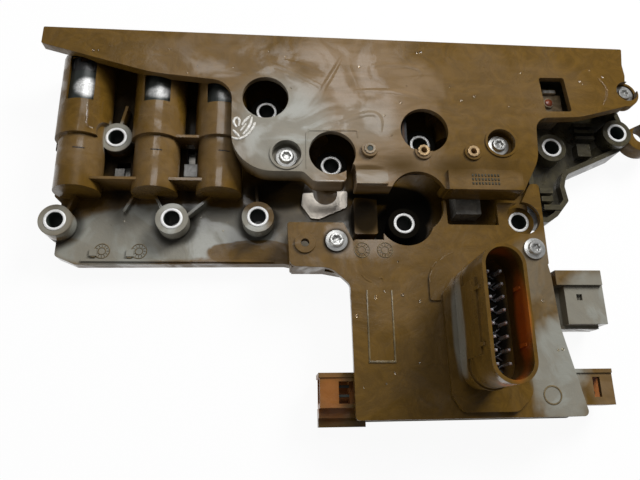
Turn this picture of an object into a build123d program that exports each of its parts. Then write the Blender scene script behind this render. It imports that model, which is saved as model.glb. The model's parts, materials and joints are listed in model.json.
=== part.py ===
from build123d import *
import math
import os

# Control module of an automatic transmission, in millimetres
# The origin is the foot of the centre limiter, on the face that bolts to the valve body
# +X runs along the long side, +Y to the rear edge of the cover, +Z away from the valve body

# Bolt joints: a steel compression limiter in a moulded boss, for M6 bolts
BOLT_BORE = 6.6
LIMITER_OD = 9.0
LIMITER_LENGTH = 16.0
BOSS_WALL = 2.15
BOSS_DROP = 0.3
FRONT_ROW_Y = -25.85
SECOND_ROW_Y = -24.75
MIDDLE_ROW_Y = 10.9
HOUSING_BOLTS = {
    "a": (-112.4, FRONT_ROW_Y),
    "b": (-66.1, SECOND_ROW_Y),
    "c": (-31.0, -23.5),
    "d": (-91.4, 11.6),
    "e": (-28.0, 25.5),
    "f": (0.0, 0.0),
    "g": (39.5, MIDDLE_ROW_Y),
    "h": (30.3, FRONT_ROW_Y),
    "i": (80.0, SECOND_ROW_Y),
}
MANIFOLD_BOLTS = {
    "j": (99.6, MIDDLE_ROW_Y),
    "k": (131.5, 18.9),
}

# Levels of the layers
FILTER_THICK = 2.0
FLOOR_THICK = 5.5
MANIFOLD_THICK = 12.0
COVER_THICK = 2.7
COVER_GAP = 0.3
SKIRT_DEPTH = 7.0
LIP_DEPTH = 1.5
SKIRT_WALL = 1.8
WALL = 2.0
FIT = 0.3
WEB_TOP = 21.0
GUSSET_TOP = 12.5
LUG_REACH = 1.6

# Reach of the cover from the origin
REACH_LEFT = 122.3
REACH_RIGHT = 132.7
REACH_REAR = 56.7
REAR_DROP = 1.8

# Solenoids lie along Y, blind end to the front
SOLENOID_AXIS_Z = 14.0
SLEEVE_OD = 22.0
SLEEVE_WALL = 1.5
SLEEVE_END_Y = 47.0
CRADLE_HEIGHT = 0.5
NOSE_WALL = 3.0
NOSE_END_WALL = 2.3
LONG_NOSE_OD = 19.0
LONG_NOSE_LENGTH = 23.0
LONG_FRONT_Y = -13.5
SHORT_NOSE_OD = 15.0
SHORT_NOSE_LENGTH = 10.0
SHORT_FRONT_Y = 12.5
LONG_X = (-105.5, -74.0, -47.5)
SHORT_X = (-8.5, 17.0, 54.6, 77.4)
WINDOW_WIDTH = 11.0
WINDOW_START_Y = 24.7
CAN_FIT = 0.15
CAN_WALL = 1.2
CAN_BACK_GAP = 8.0
CAP_LENGTH = 6.5
PLUNGER_OD = 8.0
PLUNGER_GAP = 0.1
PLUNGER_END_GAP = 1.5
SPOOL_OD = 5.0
SPRING_OD = 4.2
SPRING_LENGTH = 3.2
NOSE_FRONT_WALL = 1.2
NOSE_FLANGE = 2.6
PORT_WIDTH = 3.4
PORT_LENGTH = 4.0
PORT_PITCH = 7.0
SEAT_WIDTH = 7.0
SEAT_MARGIN = 1.5
SCREEN_THICK = 0.4

# Lead frame: a plastic strip behind the solenoids with copper tracks on it
CARRIER_Y = 47.5
CARRIER_WIDTH = 2.5
CARRIER_LOW = 20.0
CARRIER_THICK = 2.4
TRACK_WIDTH = 0.8
TRACK_THICK = 0.6
TAB_WIDTH = 3.0
BRIDGE_RIGHT = 64.0
BRIDGE_TOP = 16.0

# Control module case and its parts
CASE_LEFT = 8.3
CASE_RIGHT = 96.5
CASE_FRONT = -105.0
CASE_REAR = -34.8
CASE_TOP = 21.0
CASE_ROOF = 2.5
ROOF_LEFT = 6.0
BASE_LOW = 2.6
BASE_THICK = 3.0
BASE_RIM = 0.4
BOARD_LIFT = 3.4
BOARD_THICK = 1.6
SHROUD_X = 55.0
SHROUD_Y = -70.8
SHROUD_WIDTH = 15.8
SHROUD_LENGTH = 48.0
SHROUD_WALL = 1.3
SHROUD_TOP = 56.0
COLLAR_LEVEL = 34.0
BED_LEVEL = 39.0
BED_THICK = 8.0
PIN_SIZE = 1.0
PIN_PITCH = 4.7
PIN_ROW_PITCH = 4.6
PIN_TIP = 46.5
PINS_PER_ROW = 8
FOOT_HEIGHT = 2.0
ACCESS_RADIUS = 9.7
WELL_RADIUS = 11.6
SMALL_WELL_GAP = 0.45

# Side sockets of the case: x0, x1, y0, y1, z0, z1 of each body
SOCKET_UPPER = (86.0, 112.3, -68.6, -47.0, 3.2, 16.0)
SOCKET_LOWER = (90.0, 110.8, -100.3, -86.8, 3.2, 15.0)
SOCKET_LEFT = (-6.3, 12.0, -100.2, -87.3, 3.2, 15.5)
SOCKET_WALL = 1.8
SOCKET_DEPTH = 12.0
SOCKET_PIN_REACH = 7.0
NECK_LENGTH = 9.7
NECK_DROP = 5.0

# Circuit board pads on the base plate
BOARD_PADS = ((16.5, -44.0), (16.5, -97.0), (86.5, -97.0), (81.5, -55.0))
PAD_SIZE = 6.0

# Brass inserts in the cover
INSERTS = ((37.5, 1.7), (58.6, 1.7))
INSERT_OD = 5.2
INSERT_BORE = 2.5

# Pressure switches in the manifold
SWITCH_OD = 11.0
SWITCH_POCKET = 3.0
SENSOR_X = 96.0
SENSOR_TOP = 20.0
HOOK_RADIUS = 8.8
HOOK_WALL = 4.2
SWITCHES = ((97.0, 41.0), (110.0, 41.0), (123.0, 41.0))

# Screws: sizes, then the places of those in the cover and in the case
SCREW_FLANGE = 9.0
SCREW_SHANK = 4.0
SCREW_HEAD_HEIGHT = 2.4
COVER_SCREW_LENGTH = 9.0
CASE_SCREW_LENGTH = 10.0
SEAT_THICK = 1.5
POST_OD = 8.6
COVER_SCREWS = {"s1": (-19.4, -0.6), "s3": (71.2, 6.6)}
EAR_SCREW = (131.6, 33.2)
CASE_SCREWS = {"s2": (0.9, -35.5), "s5": (82.8, -38.3)}
SCREW_RECESS = 6.0
EAR_RADIUS = 6.4

FLOOR_LOW = FILTER_THICK
FLOOR_TOP = FLOOR_LOW + FLOOR_THICK
CRADLE_TOP = FLOOR_TOP + CRADLE_HEIGHT
BOSS_OD = LIMITER_OD + 2 * BOSS_WALL
BOSS_TOP = LIMITER_LENGTH - BOSS_DROP
COVER_LOW = SOLENOID_AXIS_Z + SLEEVE_OD / 2 + COVER_GAP
COVER_TOP = COVER_LOW + COVER_THICK
COVER_SEAT = COVER_LOW - 2.8
CASE_LOW = BASE_LOW + BASE_THICK
ROOF_LOW = CASE_TOP - CASE_ROOF
BOARD_LOW = CASE_LOW + BOARD_LIFT
BOARD_TOP = BOARD_LOW + BOARD_THICK
CAN_OD = SLEEVE_OD - 2 * SLEEVE_WALL - 2 * CAN_FIT
CAN_BORE = CAN_OD - 2 * CAN_WALL
MANIFOLD_LEFT = 88.8
FOOT_TOP = CASE_TOP + FOOT_HEIGHT


def outline(*corners):
    """Closed flat face from corners given as x, y and corner radius."""
    points = [(x, y) for x, y, _ in corners]
    radii = [radius for _, _, radius in corners]
    return make_face(FilletPolyline(*points, radius=radii, close=True))


def slab(face, low, high):
    """Upright solid of a flat face between two heights."""
    return extrude(Pos(0, 0, low) * face, high - low, dir=(0, 0, 1))


def column(place, radius, low, high):
    """Upright round solid at a place in plan."""
    x, y = place
    return Pos(x, y, (low + high) / 2) * Cylinder(radius, high - low)


def block(x0, x1, y0, y1, z0, z1):
    """Box between two corners."""
    centre = Pos((x0 + x1) / 2, (y0 + y1) / 2, (z0 + z1) / 2)
    return centre * Box(x1 - x0, y1 - y0, z1 - z0)


def rod(x, z, radius, y0, y1):
    """Round solid along Y."""
    turned = Rot(90, 0, 0) * Cylinder(radius, y1 - y0)
    return Pos(x, (y0 + y1) / 2, z) * turned


def rib(start, end, thick, low, high):
    """Thin upright wall between two places in plan."""
    dx, dy = end[0] - start[0], end[1] - start[1]
    centre = Pos((start[0] + end[0]) / 2, (start[1] + end[1]) / 2, (low + high) / 2)
    turn = Rot(0, 0, math.degrees(math.atan2(dy, dx)))
    return centre * turn * Box(math.hypot(dx, dy), thick, high - low)


def stadium(x, y, width, length, low, high):
    """Upright solid with straight sides along Y and round ends."""
    face = Pos(x, y, 0) * Rot(0, 0, 90) * SlotOverall(length, width)
    return slab(face, low, high)


def save(name, shape):
    """Write one sub-part, as a group where it has several solids."""
    solids = shape.solids()
    part = solids[0] if len(solids) == 1 else Compound(children=list(solids))
    part.label = name
    export_step(part, f"parts/{name}.step")


class Solenoid:
    """Sizes and stations of one solenoid along its axis."""

    def __init__(self, x, front, nose_od, nose_length):
        self.x = x
        self.front = front
        self.nose_od = nose_od
        self.step = front + nose_length
        self.nose_bore = nose_od / 2 - NOSE_WALL
        self.blind = front + NOSE_END_WALL
        self.can_front = self.step + SLEEVE_WALL
        self.can_back = SLEEVE_END_Y - CAN_BACK_GAP
        self.seat = self.blind + FIT + NOSE_FRONT_WALL
        self.tab_y = self.can_back + CAP_LENGTH - 2.0
        self.port_count = 3 if nose_length > 2.5 * PORT_PITCH else 1

    def ports(self):
        """Places of the ports below the nose."""
        centre = (self.seat + SPRING_LENGTH + self.step) / 2
        first = centre - PORT_PITCH * (self.port_count - 1) / 2
        return [(self.x, first + PORT_PITCH * i) for i in range(self.port_count)]


def all_solenoids():
    """The seven solenoids from left to right."""
    long = [Solenoid(x, LONG_FRONT_Y, LONG_NOSE_OD, LONG_NOSE_LENGTH) for x in LONG_X]
    short = [Solenoid(x, SHORT_FRONT_Y, SHORT_NOSE_OD, SHORT_NOSE_LENGTH) for x in SHORT_X]
    return long + short


SOLENOIDS = all_solenoids()


def port_hole(place, low, high):
    """Oblong port from below into a valve nose."""
    x, y = place
    across, along = PORT_WIDTH / 2, PORT_LENGTH / 2
    return block(x - across, x + across, y - along, y + along, low, high)


def screen_seat(unit, low, high):
    """Rectangle under all ports of one solenoid, for the filter plate and its screen."""
    ports = unit.ports()
    margin = PORT_LENGTH / 2 + SEAT_MARGIN
    across = SEAT_WIDTH / 2
    return block(unit.x - across, unit.x + across, ports[0][1] - margin, ports[-1][1] + margin, low, high)


def floor_face():
    """Plan of the solenoid housing's floor."""
    left = REACH_LEFT - 5.5
    rear = REACH_REAR - 3.4
    seam = CASE_REAR + FIT
    return outline(
        (-left, rear, 1.5),
        (-left, -12.5, 1.5),
        (-left + 3.2, -15.5, 1.0),
        (-left + 2.9, -38.6, 1.5),
        (-105.5, -42.2, 2.0),
        (-20.0, -41.5, 1.0),
        (5.6, -46.2, 1.0),
        (6.4, seam, 1.0),
        (MANIFOLD_LEFT - FIT, seam, 2.0),
        (MANIFOLD_LEFT - FIT, rear, 1.5),
    )


def sleeve_outer(unit):
    """Stepped outside of one solenoid sleeve."""
    body = rod(unit.x, SOLENOID_AXIS_Z, SLEEVE_OD / 2, unit.step, SLEEVE_END_Y)
    nose = rod(unit.x, SOLENOID_AXIS_Z, unit.nose_od / 2, unit.front, unit.step)
    return body + nose


def sleeve_hollow(unit):
    """Stepped bore of one sleeve, its roof window and the ports through the floor."""
    can_radius = SLEEVE_OD / 2 - SLEEVE_WALL
    hollow = rod(unit.x, SOLENOID_AXIS_Z, can_radius, unit.can_front, SLEEVE_END_Y + 1)
    hollow += rod(unit.x, SOLENOID_AXIS_Z, unit.nose_bore, unit.blind, unit.can_front)
    half = WINDOW_WIDTH / 2
    roof = SOLENOID_AXIS_Z + SLEEVE_OD / 2
    hollow += block(
        unit.x - half, unit.x + half, WINDOW_START_Y, SLEEVE_END_Y + 1, SOLENOID_AXIS_Z + 4, roof + 1
    )
    for port in unit.ports():
        hollow += port_hole(port, FLOOR_LOW - 1, SOLENOID_AXIS_Z)
    return hollow


def floor_windows():
    """Openings through the floor between the left sleeves."""
    first, second, third = LONG_X
    reach = SLEEVE_OD / 2 + 0.9
    left = block(first + reach + 1.5, second - reach - 0.5, -5.8, 3.5, 0, SOLENOID_AXIS_Z)
    right = block(second + reach - 0.4, third - reach + 0.4, -5.8, 10.8, 0, SOLENOID_AXIS_Z)
    return left + right


def housing_ribs():
    """Webs between the left sleeves and gussets to the bosses."""
    first, second, third = LONG_X
    reach = 6.4
    low = FLOOR_TOP - 1
    web = 1.2
    step = LONG_FRONT_Y + LONG_NOSE_LENGTH
    parts = block(first + reach, second - reach, -9.9, -9.9 + web, low, WEB_TOP)
    parts += block(second + reach, third - reach, -9.9, -9.9 + web, low, WEB_TOP)
    parts += block(second + reach, third - reach, step, step + web, low, WEB_TOP)
    nose_end = LONG_FRONT_Y + 1.0
    bolt = HOUSING_BOLTS
    parts += rib((first - 1.0, nose_end), (bolt["a"][0] + 3, bolt["a"][1] + 5), web, low, GUSSET_TOP)
    parts += rib((second - 0.6, nose_end), (bolt["b"][0] - 4, bolt["b"][1] + 4), web, low, GUSSET_TOP)
    parts += rib((third - 2.5, nose_end), (bolt["b"][0] + 5, bolt["b"][1] + 2), web, low, GUSSET_TOP)
    parts += rib((bolt["c"][0] - 1, -8.0), (bolt["c"][0] - 0.2, bolt["c"][1] + 5), web, low, GUSSET_TOP)
    parts += rib((second - 9.4, nose_end), (second - 13.0, -19.6), web, low, 10.0)
    parts += rib((bolt["d"][0] + 1, bolt["d"][1] + 5), (bolt["d"][0] + 3.2, 27.0), web, low, 15.0)
    return parts


def housing_walls():
    """Rear wall, left end wall with its lugs, and posts under the cover."""
    left = REACH_LEFT - 5.5
    rear = REACH_REAR - 3.4
    low = FLOOR_TOP - 1
    walls = block(-left + 2, MANIFOLD_LEFT - 2, rear - WALL - 1, rear - 1, low, COVER_LOW)
    walls += block(-left, -left + 1.6, 25.0, rear - 1, low, SOLENOID_AXIS_Z)
    for y in (43.7, 29.7, 10.6):
        walls += block(-left - LUG_REACH, -left + 1.0, y - 2.2, y + 2.2, FLOOR_LOW, FLOOR_TOP + 1)
    for place in COVER_SCREWS.values():
        walls += column(place, POST_OD / 2, low, COVER_SEAT)
    for place in CASE_SCREWS.values():
        walls += column(place, POST_OD / 2, FLOOR_LOW, ROOF_LOW)
    return walls


def connector_step():
    """Stepped terminal block in front of the cover."""
    block_part = block(9.2, 19.0, -30.8, -14.6, FLOOR_TOP - 1, 16.0)
    return fillet(block_part.edges().filter_by(Axis.Z), 1.0)


def front_details():
    """Moulding marks and the raised lip of the left front plate."""
    low, high = FLOOR_TOP - 0.5, FLOOR_TOP + 0.9
    marks = block(-103.0, -24.0, -41.0, -40.0, low, high)
    for x, y in ((-98.4, -37.2), (-83.5, -37.4)):
        marks += block(x - 1.5, x + 1.5, y - 1.5, y + 1.5, low, high)
    return marks


def screw_tab():
    """Plan of the housing's tab under the right case screw, inside its notch in the case."""
    x, y = CASE_SCREWS["s5"]
    return outline((x - 5.8, y - 5.7, 2), (x + 5.2, y - 5.7, 2), (x + 5.2, y + 5.3, 1), (x - 5.8, y + 5.3, 1))


def solenoid_sleeves():
    """The seven sleeves above their cradles, each open at its rear end and windowed on top."""
    above = block(-REACH_LEFT, REACH_RIGHT, -REACH_REAR, REACH_REAR, CRADLE_TOP, COVER_TOP)
    keep_clear = [column(place, BOSS_OD / 2, 0, COVER_TOP) for place in HOUSING_BOLTS.values()]
    keep_clear += [column(place, POST_OD / 2, 0, COVER_TOP) for place in COVER_SCREWS.values()]
    sleeves = []
    for unit in SOLENOIDS:
        sleeve = (sleeve_outer(unit) - sleeve_hollow(unit)) & above
        for space in keep_clear:
            sleeve -= space
        sleeves.append(sleeve)
    return sleeves


def solenoid_housing(sleeves):
    """Lower moulding: floor with the sleeves' cradles, bolt bosses, webs and walls."""
    body = slab(floor_face(), FLOOR_LOW, FLOOR_TOP)
    body += slab(screw_tab(), FLOOR_LOW, FLOOR_TOP)
    for unit in SOLENOIDS:
        cradle = block(unit.x - SLEEVE_OD, unit.x + SLEEVE_OD, unit.front, SLEEVE_END_Y, FLOOR_LOW, CRADLE_TOP)
        body += sleeve_outer(unit) & cradle
    for place in HOUSING_BOLTS.values():
        body += column(place, BOSS_OD / 2, FLOOR_LOW, BOSS_TOP)
    body += housing_ribs()
    body += housing_walls()
    body += connector_step()
    body += front_details()
    body -= floor_windows()
    for unit, sleeve in zip(SOLENOIDS, sleeves):
        body -= sleeve
        body -= sleeve_hollow(unit)
    for place in HOUSING_BOLTS.values():
        body -= column(place, LIMITER_OD / 2, -1, LIMITER_LENGTH + 1)
    for place in COVER_SCREWS.values():
        body -= column(place, SCREW_SHANK / 2, COVER_SEAT + SEAT_THICK - COVER_SCREW_LENGTH, COVER_SEAT + 1)
    for place in CASE_SCREWS.values():
        body -= column(place, SCREW_SHANK / 2, CASE_TOP - CASE_SCREW_LENGTH, ROOF_LOW + 1)
    return body


def cover_face():
    """Plan of the top cover without its holes."""
    left, right, rear = REACH_LEFT, REACH_RIGHT, REACH_REAR
    ear_x, ear_y = EAR_SCREW
    face = outline(
        (-left, rear, 0.6),
        (-left - 0.1, 48.6, 0.8),
        (-76.0, 35.9, 60.0),
        (-42.4, 32.6, 9.0),
        (-41.9, -8.3, 17.0),
        (-12.6, -8.3, 3.0),
        (-8.3, -12.7, 3.5),
        (4.9, -12.7, 2.0),
        (4.9, -4.6, 1.2),
        (8.7, -4.6, 1.2),
        (8.7, -13.9, 0.8),
        (78.4, -15.9, 1.0),
        (86.6, -1.0, 20.0),
        (87.9, 18.7, 6.0),
        (108.0, 19.6, 30.0),
        (ear_x - 2.5, ear_y - EAR_RADIUS - 1.5, 1.0),
        (right - 0.8, 41.0, 2.0),
        (right - 1.2, 46.5, 5.0),
        (right, rear - REAR_DROP, 0.6),
    )
    return face + Pos(ear_x - 1.4, ear_y - 1.3, 0) * Circle(EAR_RADIUS)


def cover_openings():
    """Access holes over the inner bolts, the oblong front hole and the sensor window."""
    low, high = COVER_LOW - SKIRT_DEPTH - 1, COVER_TOP + 4
    e, f, g = HOUSING_BOLTS["e"], HOUSING_BOLTS["f"], HOUSING_BOLTS["g"]
    holes = column((e[0] - 0.3, e[1] - 0.1), ACCESS_RADIUS, low, high)
    holes += column((f[0] - 0.6, f[1] + 0.4), ACCESS_RADIUS, low, high)
    holes += column((g[0] - 0.9, g[1] + 0.6), ACCESS_RADIUS + 0.5, low, high)
    holes += column((34.3, -19.5), WELL_RADIUS + 0.4, low, high)
    window = outline((91.7, 38.7, 1), (103.1, 38.9, 1), (104.6, 22.2, 1), (92.9, 22.0, 1))
    holes += slab(window, low, high)
    return holes


def cover_skirt(face):
    """Downstand round the cover's edge, shallow along the open left front."""
    ring = face - offset(face, -SKIRT_WALL)
    skirt = slab(ring, COVER_LOW - SKIRT_DEPTH, COVER_LOW)
    shallow = COVER_LOW - LIP_DEPTH
    skirt -= block(-REACH_LEFT - 1, -44.0, -50, 48, 0, shallow)
    skirt -= block(-REACH_LEFT - 1, -113.0, -50, REACH_REAR + 1, 0, shallow)
    skirt -= block(MANIFOLD_LEFT - FIT, REACH_RIGHT + POST_OD, -50, 51, 0, shallow)
    for unit in SOLENOIDS:
        skirt -= rod(unit.x, SOLENOID_AXIS_Z, SLEEVE_OD / 2 + FIT, unit.front - 1, SLEEVE_END_Y + 1)
    return skirt


def cover_raised():
    """Raised blocks on the cover: plug block, label bar, insert bosses."""
    raised = block(8.8, 21.8, -13.6, -7.6, COVER_LOW, COVER_TOP + 1.2)
    raised += block(46.8, 78.0, -15.7, -7.0, COVER_LOW, COVER_TOP + 1.6)
    raised += block(46.8, 78.0, -15.7, -13.9, COVER_LOW - SKIRT_DEPTH, COVER_LOW)
    raised += column((14.9, 1.9), 3.4, COVER_LOW, COVER_TOP + 1.4)
    for place in INSERTS:
        raised += column(place, 3.7, COVER_LOW - 3, COVER_TOP + 0.8)
    for place in COVER_SCREWS.values():
        raised += column(place, SCREW_RECESS + 1.0, COVER_SEAT, COVER_TOP + 0.5)
    raised += column(EAR_SCREW, SCREW_RECESS - 0.2, COVER_SEAT, COVER_LOW)
    return raised


def top_cover():
    """Upper moulding over the solenoids and the lead frame."""
    face = cover_face()
    cover = slab(face, COVER_LOW, COVER_TOP)
    cover += cover_skirt(face)
    cover += cover_raised()
    cover -= cover_openings()
    seat = COVER_SEAT + SEAT_THICK
    for place in COVER_SCREWS.values():
        cover -= column(place, SCREW_RECESS, seat, COVER_TOP + 2)
        cover -= column(place, SCREW_SHANK / 2, COVER_SEAT - 1, seat + 1)
    cover -= column(EAR_SCREW, SCREW_FLANGE / 2 + FIT, seat, COVER_TOP + 2)
    cover -= column(EAR_SCREW, SCREW_SHANK / 2, COVER_SEAT - 1, seat + 1)
    for place in INSERTS:
        cover -= column(place, INSERT_OD / 2, COVER_LOW - 4, COVER_TOP + 2)
    return cover


def brass_inserts():
    """Threaded brass inserts pressed into the cover's bosses."""
    parts = []
    for place in INSERTS:
        barrel = column(place, INSERT_OD / 2, COVER_LOW - 3, COVER_TOP + 1.4)
        parts.append(barrel - column(place, INSERT_BORE / 2, COVER_LOW - 4, COVER_TOP + 3))
    return Compound(children=parts)


def case_face():
    """Plan of the electronics box of the control module."""
    return outline(
        (CASE_LEFT - 0.3, CASE_REAR, 1.0),
        (CASE_LEFT + 1.3, CASE_FRONT, 1.6),
        (CASE_RIGHT, CASE_FRONT + 0.4, 2.0),
        (CASE_RIGHT - 7.0, -70.5, 10.0),
        (CASE_RIGHT - 8.0, -49.0, 20.0),
        (CASE_RIGHT - 10.4, CASE_REAR, 1.0),
    )


def case_roof_face():
    """Plan of the roof plate, with the bracket, the well collar and the right strip."""
    bracket = outline(
        (-19.0, -27.6, 1.2),
        (4.0, -27.6, 1.0),
        (8.0, -36.0, 1.0),
        (30.0, -36.0, 1.0),
        (30.0, -60.0, 1.0),
        (ROOF_LEFT + 0.1, -60.0, 0.5),
        (ROOF_LEFT, -53.5, 4.0),
        (-1.5, -46.6, 7.0),
        (-17.9, -46.0, 3.0),
    )
    lip = outline(
        (ROOF_LEFT, -50.0, 1.0),
        (ROOF_LEFT + 0.6, CASE_FRONT, 1.6),
        (CASE_LEFT + 10.0, CASE_FRONT, 1.0),
        (CASE_LEFT + 10.0, -50.0, 1.0),
    )
    well = outline(
        (24.6, -17.2, 0.5),
        (24.6, -25.0, 0.5),
        (20.4, -30.6, 0.5),
        (20.4, -40.0, 1.0),
        (70.0, -40.0, 1.0),
        (70.0, -28.0, 1.0),
        (47.4, -28.0, 1.0),
        (47.4, -17.2, 1.0),
    )
    strip = outline(
        (69.0, -45.0, 1.0),
        (CASE_RIGHT - 8.2, -45.0, 1.0),
        (CASE_RIGHT - 8.0, -9.2, 1.5),
        (84.6, -9.2, 2.0),
        (79.8, -18.0, 1.0),
        (69.0, -18.0, 1.0),
    )
    return case_face() + bracket + lip + well + strip


def case_skirts():
    """Downstand along the bracket's left and front edges."""
    low, high = FLOOR_TOP, ROOF_LOW + 0.5
    side = outline((-18.8, -28.0, 0.5), (-17.2, -28.0, 0.2), (-16.2, -45.0, 0.5), (-17.7, -45.6, 0.5))
    return slab(side, low, high) + block(-17.0, -3.5, -45.9, -44.3, low, high)


def shroud_foot():
    """Raised foot and apron on the case roof round the connector."""
    foot = outline(
        (42.3, -57.2, 2.0),
        (55.5, -43.8, 3.0),
        (69.0, -43.8, 5.0),
        (74.6, -52.0, 5.0),
        (74.6, -96.5, 7.0),
        (68.0, -102.7, 4.0),
        (46.8, -102.7, 4.0),
        (43.0, -96.5, 3.0),
    )
    apron = outline(
        (37.6, -60.0, 1.0),
        (37.6, -49.0, 7.0),
        (47.0, -38.0, 8.0),
        (60.0, -38.0, 3.0),
        (60.0, -60.0, 1.0),
    )
    return slab(foot, ROOF_LOW, FOOT_TOP) + slab(apron, ROOF_LOW, CASE_TOP + 0.7)


def shroud_inside(low, high):
    """Inside of the connector between two heights."""
    width = SHROUD_WIDTH - 2 * SHROUD_WALL
    length = SHROUD_LENGTH - 2 * SHROUD_WALL
    return stadium(SHROUD_X, SHROUD_Y, width, length, low, high)


def pin_places():
    """Plan places of the connector pins, two rows of eight."""
    first = SHROUD_Y - PIN_PITCH * (PINS_PER_ROW - 1) / 2
    return [
        (SHROUD_X + side * PIN_ROW_PITCH / 2, first + PIN_PITCH * i)
        for side in (-1, 1)
        for i in range(PINS_PER_ROW)
    ]


def connector_shroud():
    """Tall connector welded to the foot, with a collar, side panels and the pins' bed."""
    x, y = SHROUD_X, SHROUD_Y
    body = stadium(x, y, SHROUD_WIDTH, SHROUD_LENGTH, FOOT_TOP, SHROUD_TOP)
    body += stadium(x, y, SHROUD_WIDTH + 1.4, SHROUD_LENGTH + 1.4, COLLAR_LEVEL - 1.2, COLLAR_LEVEL)
    for side in (-1, 1):
        edge = x + side * SHROUD_WIDTH / 2
        body += block(edge - 0.7, edge + 0.7, y - 13.5, y + 13.5, COLLAR_LEVEL, SHROUD_TOP - 7)
    body -= shroud_inside(BED_LEVEL, SHROUD_TOP + 1)
    body -= shroud_inside(FOOT_TOP - 1, BED_LEVEL - BED_THICK)
    half = PIN_SIZE / 2
    for pin_x, pin_y in pin_places():
        low, high = BED_LEVEL - BED_THICK - 1, BED_LEVEL + 1
        body -= block(pin_x - half, pin_x + half, pin_y - half, pin_y + half, low, high)
    return body


def pin(place, low, high):
    """Square upright pin with a tapered tip."""
    x, y = place
    half = PIN_SIZE / 2
    body = block(x - half, x + half, y - half, y + half, low, high)
    return chamfer(body.faces().sort_by(Axis.Z)[-1].edges(), 0.3)


def connector_pins():
    """Sixteen pins from the circuit board up through the bed."""
    return Compound(children=[pin(place, BOARD_TOP, PIN_TIP) for place in pin_places()])


def socket_hollow(box, opens):
    """Cavity of a side socket, open at its outer end."""
    x0, x1, y0, y1, z0, z1 = box
    wall = SOCKET_WALL
    if opens > 0:
        return block(x1 - SOCKET_DEPTH, x1 + 1, y0 + wall, y1 - wall, z0 + wall, z1 - wall)
    return block(x0 - 1, x0 + SOCKET_DEPTH, y0 + wall, y1 - wall, z0 + wall, z1 - wall)


def outside_case(socket):
    """A socket's body ended at the case wall and at the base plate's rim."""
    socket -= slab(case_face(), CASE_LOW, CASE_TOP)
    return socket - slab(offset(case_face(), BASE_RIM), 0, CASE_LOW)


def upper_socket():
    """Upper right socket: a lowered neck, a head with a latch bar, and a sight hole."""
    x0, x1, y0, y1, z0, z1 = SOCKET_UPPER
    body = block(*SOCKET_UPPER)
    body -= block(x0 - 1, x0 + NECK_LENGTH, y0 - 1, y1 + 1, z1 - NECK_DROP, z1 + 1)
    body += block(x0 + NECK_LENGTH - 3.6, x1 - 0.6, y1 - 5.6, y1 + 0.6, z0 + 1, z1 + 1.5)
    body += block(x0, x1 - 2, y0 - 1.4, y0, z0 + 1, z1 - 4)
    body -= socket_hollow(SOCKET_UPPER, 1)
    body -= block(100.6, 103.0, -58.8, -56.2, 10, 20)
    return outside_case(body)


def lower_socket():
    """Lower right socket with an edge bar and a sight slot."""
    x0, x1, y0, y1, z0, z1 = SOCKET_LOWER
    body = block(*SOCKET_LOWER)
    body += block(x0, x1, y1 - 1.2, y1 + 0.4, z0, z1 + 0.6)
    body -= socket_hollow(SOCKET_LOWER, 1)
    body -= block(102.6, 105.6, -97.3, -89.6, 10, 20)
    return outside_case(body)


def left_socket():
    """Lower left socket with an edge bar, two steps in front and a sight window."""
    x0, x1, y0, y1, z0, z1 = SOCKET_LEFT
    body = block(*SOCKET_LEFT)
    body += block(x0 - 0.5, x1, y1 - 1.6, y1 + 0.2, z0, z1 + 0.5)
    body += block(x0 - 0.2, x1, y0 - 3.6, y0, z0, z1 - 4.5)
    body += block(x0 - 0.2, x1, y0 - 7.0, y0 - 3.6, z0, z1 - 7.5)
    body -= socket_hollow(SOCKET_LEFT, -1)
    body -= block(1.0, 7.4, -98.8, -90.4, 10, 20)
    return outside_case(body)


def control_module_case():
    """Electronics case with the connector's foot, the bracket and the wells."""
    outer = case_face()
    case = slab(outer, CASE_LOW, CASE_TOP)
    case += slab(case_roof_face(), ROOF_LOW, CASE_TOP)
    case += case_skirts()
    case -= slab(offset(outer, -WALL - 0.2), CASE_LOW - 5, ROOF_LOW)
    case += shroud_foot()
    case -= shroud_inside(ROOF_LOW - 1, FOOT_TOP + 1)
    h = HOUSING_BOLTS["h"]
    case -= column((h[0] - 0.2, h[1] + 0.2), WELL_RADIUS, FLOOR_TOP, CASE_TOP + 1)
    case -= column((34.3, -19.5), WELL_RADIUS + 0.4, FLOOR_TOP, CASE_TOP + 1)
    case -= column(HOUSING_BOLTS["i"], BOSS_OD / 2 + SMALL_WELL_GAP, 0, CASE_TOP + 1)
    case -= slab(offset(screw_tab(), FIT), 0, FLOOR_TOP + FIT)
    case -= column(CASE_SCREWS["s5"], POST_OD / 2 + FIT, 0, ROOF_LOW)
    case += column((-11.8, -36.5), 4.2, ROOF_LOW, CASE_TOP + 0.8)
    case -= column((-11.8, -36.5), 1.7, ROOF_LOW - 1, CASE_TOP + 2)
    for place in CASE_SCREWS.values():
        case -= column(place, SCREW_SHANK / 2, ROOF_LOW - 1, CASE_TOP + 1)
    return case


def compression_limiters():
    """Steel bushes that take the bolt load through every boss."""
    parts = []
    for place in (*HOUSING_BOLTS.values(), *MANIFOLD_BOLTS.values()):
        bush = column(place, LIMITER_OD / 2, 0, LIMITER_LENGTH)
        parts.append(bush - column(place, BOLT_BORE / 2, -1, LIMITER_LENGTH + 1))
    return Compound(children=parts)


def flange_screw(place, seat, length):
    """Thread-forming screw with a broad round head."""
    shank = column(place, SCREW_SHANK / 2, seat - length, seat)
    return shank + column(place, SCREW_FLANGE / 2, seat, seat + SCREW_HEAD_HEIGHT)


def flange_screws():
    """The five visible fastening screws."""
    cover_places = (*COVER_SCREWS.values(), EAR_SCREW)
    cover_seat = COVER_SEAT + SEAT_THICK
    parts = [flange_screw(place, cover_seat, COVER_SCREW_LENGTH) for place in cover_places]
    parts += [flange_screw(place, CASE_TOP, CASE_SCREW_LENGTH) for place in CASE_SCREWS.values()]
    return Compound(children=parts)


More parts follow.
